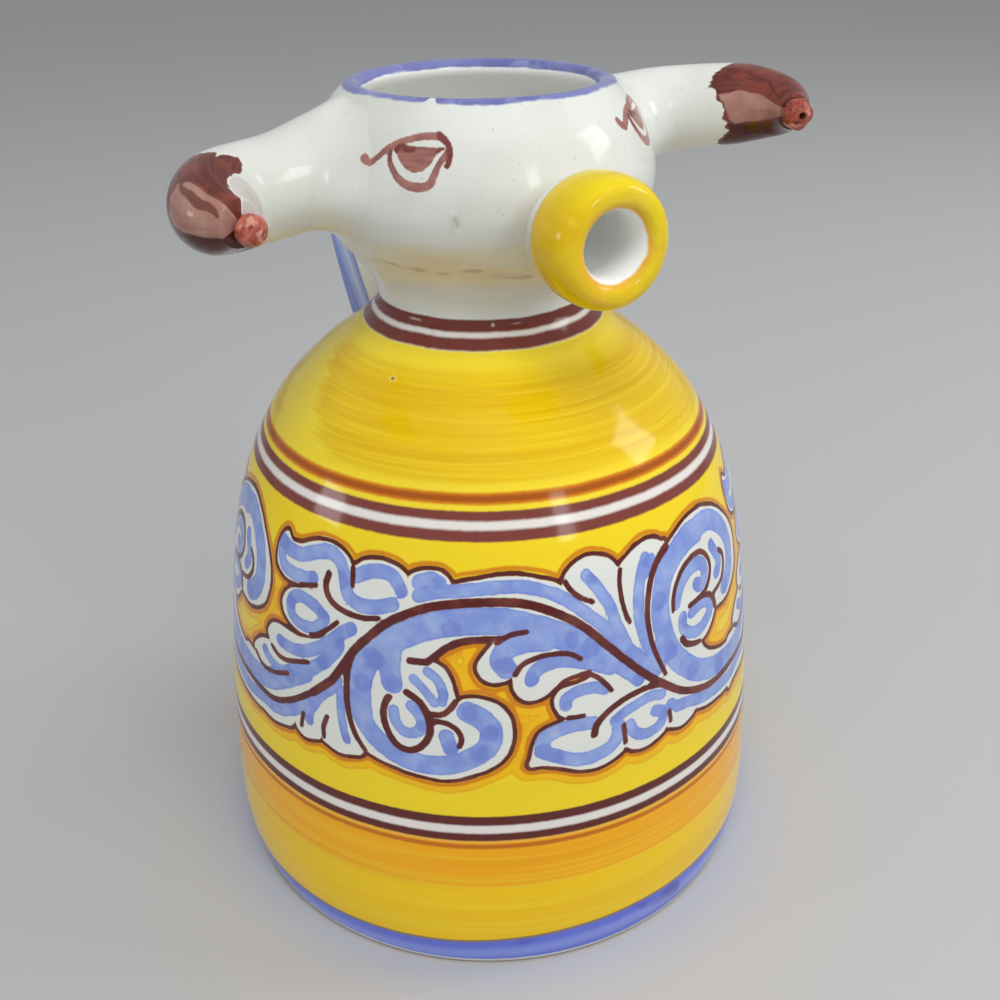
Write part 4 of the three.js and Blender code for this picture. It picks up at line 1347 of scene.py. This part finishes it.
crescent_grey = (176, 160, 158)
horn_brown = (98, 38, 32)
horn_dark = (66, 20, 14)
horn_red = (140, 66, 48)
horn_painted_shade = (66, 24, 18)
horn_pale = (168, 124, 110)
horn_pink = (186, 148, 134)
horn_veil = (128, 72, 60)
streak_brown = (92, 38, 30)
glaze = Glaze("horn glaze", white_tin)
grain = glaze.cloud(0.9, 30)
runs = glaze.brushed(14, 0.018, 31, 3)
ragged = glaze.brushed(7, 0.02, 32, 3)
brown = glaze.shaken(glaze.shaken(glaze.number("brown"), 0.9, ragged), 0.3, grain)
brown = glaze.cover(brown, 0.22, 0.97)
pale = glaze.cover(glaze.shaken(glaze.number("pale"), 0.6, ragged), 0.35, 0.85)
pale = glaze.shared(brown, pale)
cloud_white(glaze)
speck_white(glaze)
# A grey crescent on the left horn's inner side, near its tip.
glaze.lay(crescent_grey, glaze.cover(glaze.shaken(glaze.number("grey_crescent"), 0.6, ragged), 0.5, 0.5))
glaze.lay(horn_brown, brown)
glaze.lay(horn_dark, brown, glaze.above(runs, 0.52, 0.14, 0.55))
glaze.lay(horn_red, brown, glaze.above(glaze.cloud(3.4, 33, 4), 0.54, 0.1, 0.55))
# The darker brown on each horn's underside is painted shade.
glaze.lay(horn_painted_shade, brown, glaze.cover(glaze.shaken(glaze.number("painted_shade"), 0.9, ragged), 0.3, 0.9))
glaze.lay(horn_pale, pale)
glaze.lay(horn_pink, pale, glaze.above(glaze.cloud(5, 34), 0.5, 0.12, 0.5))
glaze.lay(horn_veil, pale, glaze.above(glaze.brushed(10, 0.04, 31), 0.6, 0.08, 0.35))
glaze.lay(streak_brown, brown, glaze.cover(glaze.shaken(glaze.number("streak"), 0.3, grain), 0.25, 0.8))
paint_eyes(glaze)
glaze.fire(left_horn, 0.12, glaze.work("MULTIPLY_ADD", runs, 0.2, glaze.peel()))
right_horn.data.materials.append(glaze.material)
for horn, side in ((left_horn, "left"), (right_horn, "right")):
    finish_edges(horn)
    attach(horn, "root")
    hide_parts(f"{side}_horn")


# The nubs: pellets of clay pinched on to the horns' tips and brushed with what was left of the brown.
# The right one is pierced, so that the hollow horn could breathe in the kiln.
nub_radius = 3.2
nub_length = 4.8
nub_widest = 0.4
nub_seat = 0.3
vent_radius = 0.7
vent_depth = 2.6
nub_rows = 34
nub_columns = 60
nub_red = (138, 54, 42)
nub_dark = (84, 26, 20)
nub_pale = (214, 160, 142)
vent_painted_shadow = (40, 16, 14)
left_nub_ground = (188, 104, 84)
right_nub_ground = (160, 76, 58)


def make_nub(name, form, moved, girth, seed, vented):
    """A rough pellet seated on the end of a horn, and moved a little off its middle."""
    middles, along, across, upward = (line[-1] for line in form)
    middles = middles + moved
    last = math.acos(vent_radius / nub_radius) if vented else math.pi / 2 - 0.06
    turns = np.linspace(-math.asin(nub_widest / (1 - nub_widest)), last, nub_rows)
    heights = nub_length * (nub_widest + (1 - nub_widest) * np.sin(turns)) + nub_seat
    radii = nub_radius * girth * np.cos(turns)
    if vented:
        heights = np.append(heights, [heights[-1] - 0.4, heights[-1] - vent_depth])
        radii = np.append(radii, [vent_radius * 0.8, vent_radius * 0.7])
    rows = loops(
        middles + heights[:, None] * along, radii,
        np.tile(across, (len(radii), 1)), np.tile(upward, (len(radii), 1)), nub_columns,
    )
    points = rows.reshape(-1, 3)
    core = middles + (nub_seat + nub_length * nub_widest) * along
    rough = 0.87 + 0.06 * lumps(points, 2.2, seed) + 0.02 * lumps(points, 0.8, seed + 1)
    nub = skin(name, (core + (points - core) * rough[:, None]).reshape(rows.shape))
    nub_points = points_of(nub)
    away = nub_points - middles
    ahead = away @ along
    note(nub, "vent", np.linalg.norm(away - ahead[:, None] * along, axis=1) + np.maximum(3.6 - ahead, 0))
    return nub


left_nub = make_nub("left_nub", left_form, (0.6, 0.1, -0.8), 1, 33, False)
right_nub = make_nub("right_nub", right_form, (-0.4, 0, 0), 1.12, 35, True)
for nub, side, ground in ((left_nub, "left", left_nub_ground), (right_nub, "right", right_nub_ground)):
    glaze = Glaze(f"{side} nub glaze", ground)
    glaze.lay(nub_red, glaze.above(glaze.cloud(2, 36), 0.5, 0.1, 0.8))
    glaze.lay(nub_dark, glaze.above(glaze.cloud(1.5, 37), 0.62, 0.08, 0.8))
    glaze.lay(nub_pale, glaze.above(glaze.cloud(1.8, 38), 0.57, 0.07, 0.65))
    if side == "right":
        # The vent's hole is painted near black, as painted shadow.
        glaze.lay(vent_painted_shadow, glaze.below(glaze.number("vent"), vent_radius, 0.15, 0.9))
    glaze.fire(nub, 0.18, glaze.cloud(0.9, 37), 0.3)
    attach(nub, "root")
    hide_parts(f"{side}_horn_tip")


# The handle: a strap of clay pulled by hand, luted to the back of the head and to the shoulder. It is
# dipped in white, and its edges are striped with blue.
strap_columns = 96
strap_rows = 60
strap_widths = (31, 22.5)
strap_thickness = 7.6
strap_squareness = 2.5
strap_crest = (46, 165.5)
strap_grip = (56.5, 145)
strap_top = 164
strap_foot = 115
strap_top_spreads = (1, 3.5)
strap_top_rise = 3.5
strap_foot_spreads = (1, 3)
strap_foot_rise = 3
strap_blue = (152, 170, 220)
strap_dark = (98, 108, 182)
strap_painted_highlight = (196, 208, 230)


def strap_loops():
    """Loops of the strap between the head's wall and the shoulder's."""
    foot_reach = float(pot_radius(strap_foot))
    stations = [
        (pot_radius(strap_top) - head_wall, strap_top), strap_crest, strap_grip, (foot_reach, strap_foot),
        (foot_reach - body_wall, strap_foot - body_wall),
    ]
    side_view = curve_through(stations, 40, evenness=0.5)
    widths = np.linspace(*strap_widths, len(side_view)) / 2
    middles = np.column_stack([np.zeros(len(side_view)), side_view])
    outward = np.cross(unit(np.gradient(middles, axis=0)), [1, 0, 0])
    section = soft_square(strap_columns, strap_squareness)
    lines = middles[:, None] + section[None, :, 1:] * outward[:, None] * strap_thickness / 2
    lines[..., 0] += section[:, 0] * widths[:, None]
    half = len(lines) // 2
    top = rooted(lines[:half + 1], middles, strap_top_spreads, strap_top_rise, strap_rows)
    foot = rooted(lines[half:][::-1], middles[::-1], strap_foot_spreads, strap_foot_rise, strap_rows)
    return np.concatenate([top, foot[-2::-1]])


strap = skin("strap", strap_loops())
strap_points = points_of(strap)
half_width = np.interp(strap_points[:, 2], [strap_foot, strap_top], np.array(strap_widths)[::-1] / 2)
note(strap, "from_edge", half_width - np.abs(strap_points[:, 0]))
note_wheel(strap, strap_points)
glaze = Glaze("strap glaze", white_tin)
edge = glaze.shaken(glaze.number("from_edge"), 0.5, glaze.cloud(14, 50))
glaze.lay(strap_blue, glaze.below(edge, 2.8, 0.25, 0.95))
glaze.lay(strap_dark, glaze.below(edge, 0.1, 0.4, 0.6))
# The pale line inside each blue edge, on the strap's rounded edge, is a painted highlight.
glaze.lay_bands(edge, [(1, 1.6, strap_painted_highlight, 0.35, 0.7), (2.4, 2.8, strap_dark, 0.35, 0.7)])
glaze.fire(strap, 0.12)
finish_edges(strap)
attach(strap, "root")
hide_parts("handle_strap")


# The room: a plain pale floor, soft lamps and a pale sky.
floor_drop = 0.2
bpy.ops.mesh.primitive_plane_add(size=8, location=(0, 0, -floor_drop * MM))
floor = bpy.context.object
floor.name = "floor"
floor_paint = bpy.data.materials.new("floor paint")
floor_paint.use_nodes = True
floor_shader = floor_paint.node_tree.nodes["Principled BSDF"]
floor_shader.inputs["Base Color"].default_value = (0.5, 0.5, 0.5, 1)
floor_shader.inputs["Roughness"].default_value = 0.8
floor.data.materials.append(floor_paint)

world = bpy.data.worlds.new("sky")
bpy.context.scene.world = world
world.use_nodes = True
sky = world.node_tree.nodes["Background"]
sky.inputs["Color"].default_value = (0.95, 0.97, 1, 1)
sky.inputs["Strength"].default_value = 0.44
lamp_distance = 1.2
jug_middle = 0.09


def hang_lamp(name, turn, climb, sides, power, gleams):
    """A soft lamp that faces the jug's middle: degrees round from the muzzle and up, metres and watts.
    The glaze shows those that gleam."""
    data = bpy.data.lights.new(name, "AREA")
    data.shape = "RECTANGLE"
    data.size, data.size_y = sides
    data.energy = power
    lamp = bpy.data.objects.new(name, data)
    lamp.visible_glossy = gleams
    level = lamp_distance * math.cos(math.radians(climb))
    lift = lamp_distance * math.sin(math.radians(climb))
    reach = Vector((level * math.sin(math.radians(turn)), -level * math.cos(math.radians(turn)), lift))
    lamp.location = Vector((0, 0, jug_middle)) + reach
    lamp.rotation_euler = (-reach).to_track_quat("-Z", "Y").to_euler()
    bpy.context.scene.collection.objects.link(lamp)


hang_lamp("front", 14, 38, (0.7, 0.7), 2.8, False)
hang_lamp("side", 78, 40, (0.6, 0.6), 2.5, False)
hang_lamp("top", -28, 62, (0.5, 0.5), 5.5, False)
hang_lamp("left", -60, 14, (0.5, 0.5), 1, False)
hang_lamp("front gleam", 8, 24, (0.15, 0.3), 0.75, True)
hang_lamp("side gleam", 64, 30, (0.36, 0.4), 1.8, True)
hang_lamp("left gleam", -104, 13, (0.3, 0.18), 0.8, True)
bpy.context.scene.view_settings.view_transform = "Standard"
